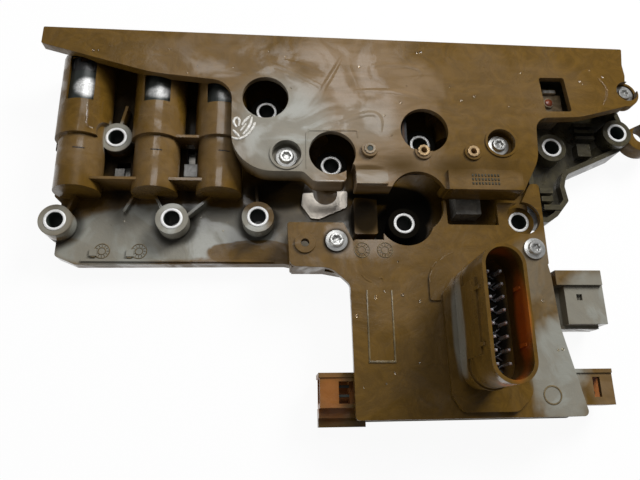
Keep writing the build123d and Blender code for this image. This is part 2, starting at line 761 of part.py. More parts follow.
def module_base_plate():
    """Aluminium plate that closes the case from below and cools the board."""
    plate = slab(offset(case_face(), BASE_RIM), BASE_LOW, CASE_LOW)
    half = PAD_SIZE / 2
    for x, y in BOARD_PADS:
        plate += block(x - half, x + half, y - half, y + half, CASE_LOW, BOARD_LOW)
    plate -= block(-REACH_LEFT, REACH_RIGHT, CASE_REAR, 0, 0, BOARD_LOW)
    plate -= slab(offset(screw_tab(), FIT), 0, BOARD_LOW + 1)
    return plate


def circuit_board():
    """Fibre-glass board on the base plate's pads."""
    face = outline(
        (12.5, -40.0, 1),
        (13.3, -100.5, 1),
        (90.0, -100.5, 1),
        (85.0, -50.0, 1),
        (74.0, -50.0, 1),
        (74.0, -40.0, 1),
    )
    return slab(face, BOARD_LOW, BOARD_TOP)


def processor_chip():
    """Flat square processor package."""
    return block(18, 36, -66, -48, BOARD_TOP, BOARD_TOP + 1.6)


def driver_chips():
    """Three power drivers and two tall capacitors."""
    parts = [block(18 + 9 * i, 25 + 9 * i, -80, -73, BOARD_TOP, BOARD_TOP + 1.8) for i in range(3)]
    parts += [block(17 + 12 * i, 24 + 12 * i, -94, -88, BOARD_TOP, ROOF_LOW - 1) for i in range(2)]
    return Compound(children=parts)


def socket_pins(box, opens, count):
    """Straight pins along X in one side socket, from its back wall."""
    x0, x1, y0, y1, z0, z1 = box
    pitch = (y1 - y0 - 2 * SOCKET_WALL) / (count + 0.6)
    middle_y, middle_z = (y0 + y1) / 2, (z0 + z1) / 2
    back = x1 - SOCKET_DEPTH if opens > 0 else x0 + SOCKET_DEPTH
    tip = back + opens * SOCKET_PIN_REACH
    low, high = min(back, tip), max(back, tip)
    half = PIN_SIZE / 2
    parts = []
    for i in range(count):
        y = middle_y + pitch * (i - (count - 1) / 2)
        parts.append(block(low, high, y - half, y + half, middle_z - half, middle_z + half))
    return Compound(children=parts)


def manifold_face():
    """Plan of the pressure switch manifold at the right end."""
    kx, ky = MANIFOLD_BOLTS["k"]
    return outline(
        (MANIFOLD_LEFT, 52.0, 1.0),
        (MANIFOLD_LEFT, -8.0, 1.0),
        (91.2, -23.0, 1.0),
        (95.2, -23.4, 1.0),
        (99.8, -20.4, 1.5),
        (105.8, -13.2, 1.5),
        (104.9, -6.2, 3.0),
        (106.5, -0.6, 5.0),
        (kx + 2.6, ky - 7.2, 4.0),
        (kx + 7.4, ky + 0.6, 4.0),
        (kx + 4.6, ky + 12.0, 3.0),
        (kx + 3.6, ky + 19.0, 3.0),
        (kx - 1.0, 52.0, 3.0),
    )


def pressure_manifold():
    """Dark moulding with two bolt bosses, cast ribs and switch pockets."""
    tray = MANIFOLD_THICK - 4.0
    body = slab(manifold_face(), 0, MANIFOLD_THICK)
    body -= slab(offset(manifold_face(), -2.2), tray, MANIFOLD_THICK + 1)
    for place in MANIFOLD_BOLTS.values():
        body += column(place, BOSS_OD / 2, 0, BOSS_TOP)
    for y in (18.3, 21.6, 24.9):
        body += block(113.5, 122.8, y - 0.75, y + 0.75, tray - 0.5, MANIFOLD_THICK)
    body += block(113.2, 119.4, 8.4, 14.6, tray - 0.5, MANIFOLD_THICK + 0.6)
    body += column(EAR_SCREW, POST_OD / 2, tray - 0.5, COVER_SEAT)
    body += block(MANIFOLD_LEFT + 1, 128.0, 49.0, 51.0, tray - 0.5, COVER_LOW)
    for x0, x1, y in ((93.0, 99.0, -8.6), (93.4, 98.6, -12.4), (94.0, 102.0, -16.4)):
        body += block(x0, x1, y - 1.2, y + 1.2, tray - 0.5, MANIFOLD_THICK + 0.4)
    for place in MANIFOLD_BOLTS.values():
        body -= column(place, LIMITER_OD / 2, -1, LIMITER_LENGTH + 1)
    body -= column(EAR_SCREW, SCREW_SHANK / 2, COVER_SEAT + SEAT_THICK - COVER_SCREW_LENGTH, COVER_SEAT + 1)
    for place in SWITCHES:
        body -= column(place, SWITCH_OD / 2, -1, SWITCH_POCKET)
    return body


def switch_diaphragms():
    """Rubber diaphragms of the pressure switches, in pockets of the manifold."""
    low = SWITCH_POCKET / 2
    return Compound(children=[column(place, SWITCH_OD / 2, low, SWITCH_POCKET) for place in SWITCHES])


def filter_plate():
    """Steel plate under the housing, with seats for the port screens."""
    plate = slab(offset(floor_face(), -1.2), 0, FILTER_THICK)
    for place in HOUSING_BOLTS.values():
        plate -= column(place, LIMITER_OD / 2, -1, FILTER_THICK + 1)
    for unit in SOLENOIDS:
        plate -= screen_seat(unit, -1, FILTER_THICK + 1)
    return plate


def filter_screens():
    """Fine screens across the ports of the filter plate, one below each solenoid."""
    level = FILTER_THICK / 2
    return Compound(children=[screen_seat(unit, level, level + SCREEN_THICK) for unit in SOLENOIDS])


def lead_frame_carrier():
    """Black plastic strip behind the solenoids, with a branch to the module."""
    low, high = CARRIER_LOW, CARRIER_LOW + CARRIER_THICK
    bar = block(-112.0, 87.0, CARRIER_Y, CARRIER_Y + CARRIER_WIDTH, low, high)
    bar += block(29.0, 32.4, -5.0, CARRIER_Y + 1, low, high)
    bar += block(29.0, BRIDGE_RIGHT, -5.4, -2.4, low, high)
    bar += block(BRIDGE_RIGHT - 9.0, BRIDGE_RIGHT, -12.0, -2.4, low, high)
    return bar


def lead_frame():
    """Stamped copper tracks on the carrier, with a tab to every solenoid."""
    low = CARRIER_LOW + CARRIER_THICK
    high = low + TRACK_THICK
    near = CARRIER_Y + 0.3
    far = CARRIER_Y + CARRIER_WIDTH - 0.3 - TRACK_WIDTH
    tracks = block(-111.0, 86.0, near, near + TRACK_WIDTH, low, high)
    tracks += block(30.2, 31.2, -3.8, near + TRACK_WIDTH, low, high)
    tracks += block(30.2, BRIDGE_RIGHT - 1.0, -3.8, -2.8, low, high)
    tracks += block(BRIDGE_RIGHT - 2.0, BRIDGE_RIGHT - 1.0, -11.5, -2.8, low, high)
    for unit in SOLENOIDS:
        tracks += block(unit.x - TAB_WIDTH / 2, unit.x + TAB_WIDTH / 2, unit.tab_y, near + 0.4, low, high)
    return Compound(children=[tracks.solids()[0], block(-111.0, 86.0, far, far + TRACK_WIDTH, low, high)])


def bridge_connector():
    """Grey terminal block that lifts the circuit board's leads to the lead frame."""
    left = BRIDGE_RIGHT - 11.0
    body = block(left, BRIDGE_RIGHT, -21.5, -6.0, FLOOR_TOP, BRIDGE_TOP)
    return body + block(left + 2.0, BRIDGE_RIGHT, -12.0, -6.0, BRIDGE_TOP, CARRIER_LOW)


def steel_bracket():
    """Pressed plate with a half-round notch in front of the centre boss."""
    face = outline(
        (-12.0, -10.0, 1),
        (-12.6, -15.5, 2),
        (-8.6, -21.4, 1.5),
        (-5.0, -21.8, 1.5),
        (7.2, -16.2, 1),
        (7.6, -8.6, 1),
    )
    face -= Pos(-2.2, -10.0, 0) * Circle(5.2)
    face -= Circle(BOSS_OD / 2 + FIT)
    return slab(face, FLOOR_TOP, FLOOR_TOP + 1.2)


def temperature_sensor():
    """Oil temperature sensor in the cover's window: body, bead and clip bar."""
    low = MANIFOLD_THICK - 4.0
    body = block(SENSOR_X, SENSOR_X + 8.8, 24.4, 35.0, low, SENSOR_TOP)
    body += block(SENSOR_X, SENSOR_X + 6.2, 35.0, 37.0, low, SENSOR_TOP + 1.4)
    return body + column((SENSOR_X + 2.4, 30.4), 2.3, SENSOR_TOP, SENSOR_TOP + 1.2)


def harness_clip():
    """Hook that guides a lead at the right end."""
    x, y = MANIFOLD_BOLTS["k"][0] + 14.2, MANIFOLD_BOLTS["k"][1] + 1.3
    ring = Circle(HOOK_RADIUS) - Circle(HOOK_RADIUS - HOOK_WALL)
    ring -= Pos(-3.5, 9.0, 0) * Rot(0, 0, 25) * Rectangle(12.0, 10.0)
    hook = slab(Pos(x, y, 0) * ring, 5.0, 13.0)
    hook -= slab(manifold_face(), 0, CASE_TOP)
    return hook - column(MANIFOLD_BOLTS["k"], BOSS_OD / 2, 0, CASE_TOP)


def solenoid_can(unit):
    """Drawn steel can, open at the terminal end and crimped on the nose's flange."""
    front = unit.can_front + FIT
    can = rod(unit.x, SOLENOID_AXIS_Z, CAN_OD / 2, front, unit.can_back)
    return can - rod(unit.x, SOLENOID_AXIS_Z, CAN_BORE / 2, front - 1, unit.can_back + 1)


def valve_nose(unit):
    """Aluminium valve nose with a flange, a spool bore and cross ports."""
    front = unit.blind + FIT
    back = unit.can_front + FIT
    body = rod(unit.x, SOLENOID_AXIS_Z, unit.nose_bore - CAN_FIT, front, back)
    body += rod(unit.x, SOLENOID_AXIS_Z, CAN_BORE / 2, back, back + NOSE_FLANGE)
    spool_bore = SPOOL_OD / 2 + PLUNGER_GAP
    body -= rod(unit.x, SOLENOID_AXIS_Z, spool_bore, unit.seat, back + NOSE_FLANGE + 1)
    for port in unit.ports():
        body -= port_hole(port, 0, SOLENOID_AXIS_Z)
    return body


def coil_winding(unit):
    """Copper winding on its bobbin round the plunger."""
    radius = CAN_BORE / 2 - CAN_FIT
    start = unit.can_front + FIT + NOSE_FLANGE
    coil = rod(unit.x, SOLENOID_AXIS_Z, radius, start, unit.can_back)
    return coil - rod(unit.x, SOLENOID_AXIS_Z, PLUNGER_OD / 2 + PLUNGER_GAP, start - 1, unit.can_back + 1)


def terminal_cap(unit):
    """Black plastic end cap with a raised terminal box, notched for the lead frame's tab."""
    back = unit.can_back + CAP_LENGTH
    level = CARRIER_LOW + CARRIER_THICK
    cap = rod(unit.x, SOLENOID_AXIS_Z, CAN_OD / 2, unit.can_back, back)
    cap += block(unit.x - 4.5, unit.x + 4.5, unit.can_back + 1, back, SOLENOID_AXIS_Z, level)
    notch = TAB_WIDTH / 2 + FIT
    return cap - block(unit.x - notch, unit.x + notch, unit.tab_y - FIT, back + 1, level, COVER_LOW)


def plunger(unit):
    """Moving armature with its spool in one piece."""
    z = SOLENOID_AXIS_Z
    back = unit.can_back - PLUNGER_END_GAP
    front = unit.can_front + FIT + NOSE_FLANGE + PLUNGER_END_GAP
    armature = rod(unit.x, z, PLUNGER_OD / 2, front, back)
    return armature + rod(unit.x, z, SPOOL_OD / 2, unit.seat + SPRING_LENGTH, front)


def return_spring(unit):
    """Envelope of the coil spring between the nose's end and the spool."""
    return rod(unit.x, SOLENOID_AXIS_Z, SPRING_OD / 2, unit.seat, unit.seat + SPRING_LENGTH)


def build_root_parts():
    """Write every part that stays fixed."""
    sleeves = solenoid_sleeves()
    save("solenoid_housing", solenoid_housing(sleeves))
    save("solenoid_sleeves", Compound(children=sleeves))
    save("top_cover", top_cover())
    save("control_module_case", control_module_case())
    save("connector_shroud", connector_shroud())
    save("upper_socket", upper_socket())
    save("lower_socket", lower_socket())
    save("left_socket", left_socket())
    save("module_base_plate", module_base_plate())
    save("pressure_manifold", pressure_manifold())
    save("filter_plate", filter_plate())
    save("filter_screens", filter_screens())
    save("switch_diaphragms", switch_diaphragms())
    save("compression_limiters", compression_limiters())
    save("flange_screws", flange_screws())
    save("brass_inserts", brass_inserts())
    save("circuit_board", circuit_board())
    save("processor_chip", processor_chip())
    save("driver_chips", driver_chips())
    save("connector_pins", connector_pins())
    save("upper_socket_pins", socket_pins(SOCKET_UPPER, 1, 4))
    save("lower_socket_pins", socket_pins(SOCKET_LOWER, 1, 2))
    save("left_socket_pins", socket_pins(SOCKET_LEFT, -1, 2))
    save("lead_frame_carrier", lead_frame_carrier())
    save("lead_frame", lead_frame())
    save("bridge_connector", bridge_connector())
    save("steel_bracket", steel_bracket())
    save("temperature_sensor", temperature_sensor())
    save("harness_clip", harness_clip())


def build_solenoids():
    """Write the seven solenoids, each from its own pieces."""
    save("solenoid_cans", Compound(children=[solenoid_can(unit) for unit in SOLENOIDS]))
    save("valve_noses", Compound(children=[valve_nose(unit) for unit in SOLENOIDS]))
    for number, unit in enumerate(SOLENOIDS, start=1):
        save(f"solenoid_{number}_plunger", plunger(unit))
        save(f"solenoid_{number}_spring", return_spring(unit))
    save("coil_windings", Compound(children=[coil_winding(unit) for unit in SOLENOIDS]))
    save("terminal_caps", Compound(children=[terminal_cap(unit) for unit in SOLENOIDS]))


os.makedirs("parts", exist_ok=True)
build_root_parts()
build_solenoids()
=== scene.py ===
import json
import math
import random

import bmesh
import bpy
from mathutils import Matrix, Vector


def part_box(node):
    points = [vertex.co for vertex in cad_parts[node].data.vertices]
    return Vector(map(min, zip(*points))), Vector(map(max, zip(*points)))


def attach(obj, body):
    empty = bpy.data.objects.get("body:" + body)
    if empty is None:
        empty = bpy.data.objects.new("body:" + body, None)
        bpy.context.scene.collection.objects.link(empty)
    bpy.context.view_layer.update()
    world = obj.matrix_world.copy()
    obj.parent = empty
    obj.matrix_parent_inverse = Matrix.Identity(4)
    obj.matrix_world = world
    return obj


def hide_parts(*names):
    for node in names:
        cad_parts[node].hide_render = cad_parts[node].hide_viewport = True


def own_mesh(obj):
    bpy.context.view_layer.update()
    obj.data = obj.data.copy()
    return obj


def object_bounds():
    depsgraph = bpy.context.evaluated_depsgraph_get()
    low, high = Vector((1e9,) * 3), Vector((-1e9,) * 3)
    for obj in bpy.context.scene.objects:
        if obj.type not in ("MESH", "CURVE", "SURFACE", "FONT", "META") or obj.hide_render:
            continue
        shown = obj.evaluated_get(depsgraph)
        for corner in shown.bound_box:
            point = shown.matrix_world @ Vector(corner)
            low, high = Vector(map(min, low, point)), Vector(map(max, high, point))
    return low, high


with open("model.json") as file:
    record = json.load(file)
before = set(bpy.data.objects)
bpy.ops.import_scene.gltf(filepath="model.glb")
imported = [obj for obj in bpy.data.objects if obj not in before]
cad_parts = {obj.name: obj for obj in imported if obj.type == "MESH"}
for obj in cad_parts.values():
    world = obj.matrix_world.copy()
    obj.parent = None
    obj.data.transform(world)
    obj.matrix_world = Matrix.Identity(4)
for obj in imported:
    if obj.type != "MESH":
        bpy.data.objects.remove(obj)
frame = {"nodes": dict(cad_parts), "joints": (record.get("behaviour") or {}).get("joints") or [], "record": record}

bl_info = {
    "name": "Transmission control module",
    "version": (1, 0, 0),
    "blender": (4, 5, 0),
    "location": "3D View > Sidebar > Module",
    "description": "Finishes an oily transmission control module around its packed model",
    "category": "Object",
}

MM = 0.001
BODY = "module"
CAD_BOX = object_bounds()


def mm(*values):
    """Millimetres as metres."""
    return tuple(value * MM for value in values)


# Distance within which heights or radii count as the same, and upright share of a level face's normal
CLOSE = 1e-6
LEVEL = 0.9

# Nodes whose tops carry the raised lines, drops and pads
TOP_NODES = (
    "top_cover", "solenoid_sleeves", "solenoid_housing", "control_module_case", "connector_shroud",
    "valve_noses", "solenoid_cans", "pressure_manifold", "upper_socket", "lower_socket", "left_socket",
    "temperature_sensor",
)

# Camera of the photograph, solved from the circles and levels of the object
CAMERA_PLACE = (-0.023675, -0.107173, 0.246667)
CAMERA_RIGHT = (0.99711, -0.01524, 0.07439)
CAMERA_UP = (-0.00807, 0.95282, 0.30342)
CAMERA_BACK = (-0.0755, -0.30314, 0.94995)
CAMERA_LENS, CAMERA_SENSOR, CAMERA_NEAR = 33.16, 36.0, 0.01

# Lamps: name, place and size in metres, setting of the power and share of it
LAMPS = (
    ("key", (0.55, 0.6, 0.65), (0.42, 0.42), "key_power", 1.0),
    ("softbox", (-0.02, 0.42, 0.9), (0.48, 0.42), "fill_power", 1.0),
    ("left_fill", (-0.75, -0.35, 0.16), (0.5, 0.3), "fill_power", 0.6),
)

# Floor: size and drop in metres, share of white, and dark oval seen through each bore, in millimetres
FLOOR_SIZE, FLOOR_DROP = 6.0, 0.15 * MM
FLOOR_WHITE, GLOSSY_WHITE = 0.94, 0.15
BORE_SHADE, BORE_SHIFT, BORE_DEPTH = 6.5, 1.5, 20.0

# Nodes whose finish differs from their slot's
NODE_FINISHES = {
    "filter_plate": "oily_sheet", "filter_screens": "screen_mesh",
    "solenoid_cans": "can_steel", "temperature_sensor": "tan_plastic", "left_socket_pins": "oily_bore",
    "lower_socket_pins": "oily_bore", "coil_windings": "oily_bore", "connector_pins": "pin_steel",
}

# Materials by the name of their finish, filled as they are built
FINISHES = {}

# Plain plastics: colour, roughness and coat of oil
PLASTICS = {
    "black_plastic": ((0.018, 0.018, 0.02), 0.42, 0.2),
    "grey_plastic": ((0.34, 0.33, 0.3), 0.45, 0.2),
    "wet_slate": ((0.05, 0.055, 0.065), 0.25, 0.6),
    # Painted highlight: pale colour of the raised line along the cover's front rim
    "rim_highlight": ((0.5, 0.44, 0.37), 0.25, 0.6),
    # Painted highlight: the raised marks are lighter than the brown moulding, as their edges catch the light
    "dull_edges": ((0.2, 0.15, 0.075), 0.35, 0.4),
    "tan_plastic": ((0.3, 0.22, 0.13), 0.4, 0.3),
    "white_plastic": ((0.62, 0.6, 0.55), 0.4, 0.2),
    "red_resin": ((0.22, 0.05, 0.02), 0.25, 0.6),
    "black_rubber": ((0.02, 0.02, 0.02), 0.6, 0.05),
    "board_green": ((0.03, 0.12, 0.05), 0.4, 0.3),
}

# Metals: colour, roughness, grime, share of metal and stretch of the brushing
ALONG_X, ALONG_Y, EVEN = (0.1, 1, 1), (1, 0.1, 1), (1, 1, 1)
METALS = {
    "screw_steel": ((0.62, 0.62, 0.6), 0.3, 0.4, 0.75),
    "pin_steel": ((0.6, 0.62, 0.66), 0.25, 0.2, 0.5),
    "sheet_steel": ((0.66, 0.6, 0.52), 0.3, 0.5, 0.45),
    "oily_sheet": ((0.42, 0.4, 0.36), 0.38, 0.12, 0.5, ALONG_X),
    "screen_mesh": ((0.2, 0.19, 0.16), 0.5, 0.6, 0.3),
    # Painted shade: oily_bore is near black, given to the bores and to the coil windings down in the holes, over
    # their oil
    "oily_bore": ((0.045, 0.055, 0.047), 0.4, 0.2, 0.2),
    "valve_aluminium": ((0.26, 0.21, 0.14), 0.38, 0.35, 0.5, ALONG_Y),
    "aluminium_plate": ((0.34, 0.31, 0.25), 0.42, 0.25, 0.5, ALONG_X),
    "pin_metal": ((0.55, 0.55, 0.55), 0.25, 0.4, 1.0),
    # Painted shade: copper darkened nearly to black, as it lies deep under the cover
    "copper": ((0.05, 0.025, 0.012), 0.4, 0.4, 0.4),
}

# Steel bushes, screws and inserts: least distance between two of a kind, then their sizes
BUSH_REACH, SCREW_REACH, INSERT_REACH = mm(9.6, 10.0, 6.0)
BUSH_OUTER, BUSH_INNER, BORE_OUTER = mm(4.5, 3.3, 3.4)
SCREW_OUTER, SCREW_FLANGE, SCREW_HEAD, SCREW_LENGTH = mm(4.5, 0.9, 2.4, 9.0)
FLANGE_RIM, SOCKET_RIM, SOCKET_OUTER, SOCKET_DEPTH, SHANK_RIM = mm(1.5, 1.15, 1.6, 1.3, 2.5)
INSERT_OUTER, INSERT_INNER, INSERT_RIM = mm(2.6, 1.25, 0.45)

# Plastic crown beside the inserts: place, radii, foot and top, then the cup in it
CROWN_PLACE = (14.9, 1.9)
CROWN_OUTER, CROWN_INNER, CROWN_LOW, CROWN_HIGH = mm(2.5, 1.2, -0.4, 0.35)
CUP_RADIUS, CUP_LOW, CUP_HIGH, CUP_RIM, CUP_DEPTH = mm(1.22, -0.08, 0.32, 0.12, 0.25)

# Wall of the first sleeve beside a boss: axis, middle, radius, length, thickness and angle
LINING_X, LINING_Y, LINING_Z, LINING_RADIUS = mm(-105.5, 12.85, 14.0, 9.44)
LINING_LENGTH, LINING_THICK = mm(12.5, 0.12)
LINING_ANGLE = math.radians(62)

# Raised marks on the electronics case, the left plate and the label bar, in millimetres
CASE_TOP, PLATE_TOP = 21.0, 7.5
CASE_CLOCKS = ((11.2, -39.2), (20.6, -39.2))
PLATE_CLOCKS = ((-95.0, -36.4), (-80.0, -36.4))
PLATE_SQUARES = ((-98.4, -38.3), (-83.7, -38.6))
PANEL_LEFT, PANEL_RIGHT, PANEL_REAR, PANEL_FRONT = 12.2, 22.8, -55.7, -84.1
CORNER_RING = (82.7, -96.7)
LABEL_LEFT, LABEL_RIGHT = 56.5, 68.0
LABEL_ROWS = (-9.4, -11.2, -13.0)
TICK_WIDTH, TICK_HALF, TICK_STEP = 0.75, 0.55, 1.35
RING_RADIUS, RING_WIDTH = 3.4, 0.35
LINE_WIDTH, SILL_WIDTH, SQUARE_HALF, SQUARE_LIFT = 0.7, 0.9, 1.0, 0.4
CLOCK_RINGS = ((3.1, 0.22), (1.5, 0.2))
HOUR_INNER, HOUR_OUTER, HOUR_HALF = 1.9, 2.7, 0.12

# Raised lines of the cover and the case, and lines of oil, in millimetres
COVER_RIDGES = (
    ((-26.4, 42.1), (-15.2, 37.6), (-4.8, 31.5)),
    ((-25, 39.1), (-13.9, 35), (-6.1, 30)),
    ((-20.5, 43.8), (-11.3, 41.9), (-2.8, 36.9)),
    ((4.8, 47.1), (0.6, 38.5), (-4.9, 28.6), (-5.6, 22.6)),
    ((17.4, 42.5), (28.2, 43.3), (38.3, 42.1), (40.1, 38.3), (34.5, 35.8)),
    ((9.6, 29.7), (20.8, 30.1), (32.1, 29.3), (42.5, 25.5)),
    ((-0.6, 12.7), (9.2, 17.2), (17.1, 19.6), (20.8, 16.1), (19.9, 10.3)),
)
HOLE_FRAME = ((-11.4, -7), (-11.2, 10.3), (10.2, 10.8), (10.1, 7.3))
CASE_RIDGES = (
    ((38.1, -52.8), (38.4, -47.6), (42, -43), (48.4, -40.2)),
    ((10.8, -49.6), (12.4, -51.8), (14.7, -52.4)),
    ((17.6, -51.2), (19.2, -49.8), (19.4, -52.4)),
)
# Painted highlight: a pale raised line along the cover's front rim
RIM_GLINT_LINE = ((-8, -12.2), (3.9, -12.2))
OIL_CURLS = (
    ((-39.8, 11.1), (-41.2, 12.4), (-41.2, 14.7), (-39.7, 15.5), (-38.6, 13.9),
     (-39.2, 11.6)),
    ((-32.1, 16.7), (-32.3, 14), (-33, 11.4), (-34.4, 8.9), (-36.1, 7),
     (-38.4, 5.8), (-40, 5.5), (-41.7, 6.5)),
    ((-33.7, 15.9), (-34.1, 13.5), (-34.9, 11.4), (-36.1, 9.3), (-37.4, 7.7)),
    ((-37.8, 12), (-37, 13.7), (-35.7, 15.1), (-34.4, 16.6)),
    ((-41.4, 9.8), (-40.3, 8.5), (-39.4, 7.7), (-38.7, 6.5)),
    ((-38.5, 9.3), (-37.3, 10.7), (-36.1, 12.8)),
)
OIL_LINES = (
    ((119.3, 39.5), (121.9, 36), (122.4, 31), (119.3, 25.9)),
    ((-102, 22.6), (-101.4, 18), (-101.8, 11.8), (-98.9, 11.9)),
    ((23.6, 7.6), (28.5, 13.4), (30.1, 7.7)),
)

# Drops of oil: cut, flatness and depth as shares of a radius; left, right, front, rear and count of a field
DROP_CUT, DROP_FLAT, DROP_SUNK = 0.25, 0.42, 0.12
DROP_FIELDS = (
    (-118, -80, 40, 50, 3), (-80, 40, 36, 50, 9), (-30, 35, 14, 36, 8),
    (48, 85, 12, 48, 6), (-104, -38, -38, -20, 8), (6, 34, -95, -42, 10),
    (76, 94, -98, -50, 6), (106, 128, 36, 44, 4),
)

# Connector: top of its bed, rows of pins, sizes of a web, and latches by place and reach
BED_TOP, PIN_ROWS = 39.0, 8
WEB_HALF, WEB_THIN, WEB_HEIGHT, WEB_SHIFT, WEB_LEAN = 2.6, 0.32, 0.9, 1.1, 34
LATCHES = (
    (47.1, -61.4, 50.0, 1.1), (47.1, -81.0, 50.0, 1.1),
    (61.9, -61.6, 49.0, 0.9), (61.9, -81.4, 49.0, 0.9),
)
LATCH_LENGTH, LATCH_HEIGHT = 1.5, 4.4

# Ticks of the valve noses, grey pads (left, right, front, rear and top) and parts of the sensor
NOSE_TICKS = ((-103.8, 2.9), (-72.7, 2.6), (-45.2, 2.7))
NOSE_HALF, NOSE_SAG = 2.3, 0.1
PADS = ((-63.4, -57.5, -3.2, 2.8, 9.0), (-92.6, -88.6, -3.4, 0.4, 8.5))
BAR_LEFT, BAR_RIGHT, BAR_FRONT, BAR_REAR, BAR_HEIGHT = 0.3, 5.9, 35.3, 36.7, 0.2
BEAD_RIGHT, BEAD_REAR, BEAD_RADIUS = 2.4, 30.4, 2.0

# Middles in plan of the access holes and of the feet of the left bosses, in millimetres
ACCESS_HOLES = ((-28.3, 25.4), (-0.6, 0.4), (38.6, 11.5))
BOSS_FEET = ((-112.4, -25.85), (-66.1, -24.75), (-31, -23.5))

# Regions of the mouldings, in millimetres: centre, half size, softness, unevenness and strength

# Dull tan film on the cover, the label bar and the sockets, partly painted sheen and highlight: on the cover's
# centre, the plug block's top and the tops of the sleeves
TAN_FILM_AND_SHEEN = (
    ((-50, 22, 27), (31, 40, 8), 0.12, 0.25, 0.28),
    # Tan film with painted sheen on the cover's centre
    ((8, 14, 28), (36, 46, 8), 0.3, 0.3, 0.8),
    ((70, 30, 28), (38, 24, 7), 0.5, 0.5, 0.2),
    ((20, -45, 21), (44, 22, 5), 0.4, 0.5, 0.16),
    ((62, -11, 29.6), (17, 5.5, 4), 0.15, 0.05, 0.3),
    # Painted highlight on the top of the plug block
    ((15, -10.6, 29.2), (8, 4.5, 4), 0.15, 0.05, 1),
    ((-2, -12.6, 25), (13, 3, 6), 0.2, 0.1, 1),
    # Painted highlight along the tops of the sleeves
    ((-65, 2, 20), (60, 14, 8), 0.3, 0.3, 0.3),
    ((111, -93, 11), (14, 12, 8), 0.2, 0.2, 0.5),
    ((-3, -95, 11), (12, 12, 9), 0.2, 0.2, 0.3),
)
# Dried grey film on the left plate, the bosses and the case, partly painted reflection and highlight: on the upper
# socket, the connector's foot and the plug block
GREY_FILM_AND_SHEEN = (
    ((-67, -27.5, 10), (45, 12.5, 14), 0.08, 0.1, 1),
    ((-91.4, 11.6, 14.5), (8, 8, 3), 0.2, 0.1, 0.9),
    ((-112.4, -25.8, 14.5), (8, 8, 3.5), 0.2, 0.1, 0.8),
    ((-10, -25, 8), (30, 9, 8), 0.3, 0.3, 0.6),
    ((90, -88, 21), (15, 22, 8), 0.25, 0.3, 1),
    ((-21, 10, 28), (20, 24, 8), 0.45, 0.12, 0.95),
    ((12, 14, 28), (12, 10, 8), 0.6, 0.3, 0.35),
    # Painted reflection on the upper socket
    ((113, -60, 12), (24, 16, 12), 0.2, 0.1, 0.95),
    ((84, -50, 21), (14, 16, 6), 0.5, 0.5, 0.3),
    # Painted bluish reflection down the left side of the connector's foot
    ((47, -71.5, 27), (2.3, 19, 7), 0.2, 0.1, 0.7),
    # Painted highlight on the top of the plug block
    ((15, -10.6, 29.2), (7.6, 3.6, 3), 0.15, 0.05, 0.35),
    ((-92, -36.5, 8), (24, 6.5, 8), 0.2, 0.1, 0.9),
)
# Painted shade: near black down in the gaps, the wells, the access holes and round the feet of the bosses, where
# shade falls and old oil lies
DEEP_SHADE = (
    ((-90, 10, 4), (8, 36, 7), 0.3, 0.1, 0.9),
    ((-60.8, 10, 4), (5, 36, 7), 0.3, 0.1, 0.9),
    ((30.3, -25.85, 11.5), (14, 13, 9.4), 0.1, 0, 1),
    ((24, -10, 13.5), (22, 6, 10), 0.1, 0, 1),
    ((14, -23, 11.5), (7.5, 10, 8.5), 0.2, 0.1, 0.9),
    ((34.5, -17, 13), (12.5, 12.5, 11), 0.1, 0, 1),
    ((-22, -10, 8), (15, 7.5, 11), 0.3, 0.1, 0.9),
    ((-75, 14, 5), (60, 25, 5.5), 0.2, 0.1, 0.85),
    ((55.2, -70.8, 37.5), (8, 26, 2.4), 0.15, 0, 1),
    ((0.9, -35.5, 21.7), (6.6, 6.6, 1.2), 0.12, 0, 0.9),
    ((-91.4, 11.6, 13.6), (7.9, 7.9, 2.4), 0.1, 0, 0.7),
    ((14.9, 1.9, 28.4), (1.2, 1.2, 1), 0.2, 0, 1),
    *(((x, y, 17), (8.5, 8.5, 9.5), 0.1, 0, 1) for x, y in ACCESS_HOLES),
    *(((x, y, 7.2), (9.4, 9.4, 3), 0.2, 0.1, 0.75) for x, y in BOSS_FEET),
)
# Painted shade: dull dark colour in the valleys between the ribs of the cover and beside the connector
SHADED_VALLEYS = (
    ((14, -6.2, 28), (9, 1.5, 6), 0.6, 0.15, 0.75),
    ((27.9, -5, 28), (9, 4.4, 6), 0.95, 0.2, 0.8),
    ((49.4, -5.2, 28), (9, 4.4, 6), 0.95, 0.2, 0.8),
    ((71, -4.6, 28), (8, 4, 6), 0.95, 0.2, 0.6),
    ((40, -68, 21), (8, 28, 3), 0.5, 0.15, 0.4),
)
# Plate and corner that the film has left bare
BARE = (
    ((-33, -37, 8), (19, 6, 8), 0.06, 0.14, 1),
    ((-106, -16, 8), (8, 7, 8), 0.3, 0.2, 0.7),
)
# Painted glow: bright amber on the thin walls of the connector and the sockets, standing in for light that shines
# through them
THIN_WALL_GLOW = (
    ((55.4, -71.8, 50.5), (7.6, 24.9, 10), 0.12, 0, 1),
    ((-2, -95, 9), (10, 10, 9), 0.25, 0.1, 0.35),
    ((106, -93, 7), (9, 9, 6), 0.25, 0.1, 0.5),
)
# Painted light on the solenoid cans: bright steel where light falls in through the windows, the rest painted dark
# as shade
LIT_CANS = (
    ((-103.4, 31, 20), (5, 4.4, 9), 0.3, 0.15, 1),
    ((-73, 29.6, 20), (5.5, 2.8, 9), 0.35, 0.15, 0.75),
    ((-44, 29, 20), (4.5, 2.4, 9), 0.5, 0.15, 0.35),
)


def tint(name, description, colour):
    """A colour that the panel shows."""
    return bpy.props.FloatVectorProperty(
        name=name, description=description, default=(*colour, 1), subtype="COLOR", size=4, min=0, max=1,
    )


def measure(name, description, default, subtype="DISTANCE"):
    """A number of zero or more that the panel shows."""
    return bpy.props.FloatProperty(
        name=name, description=description, default=default, subtype=subtype, min=0,
    )


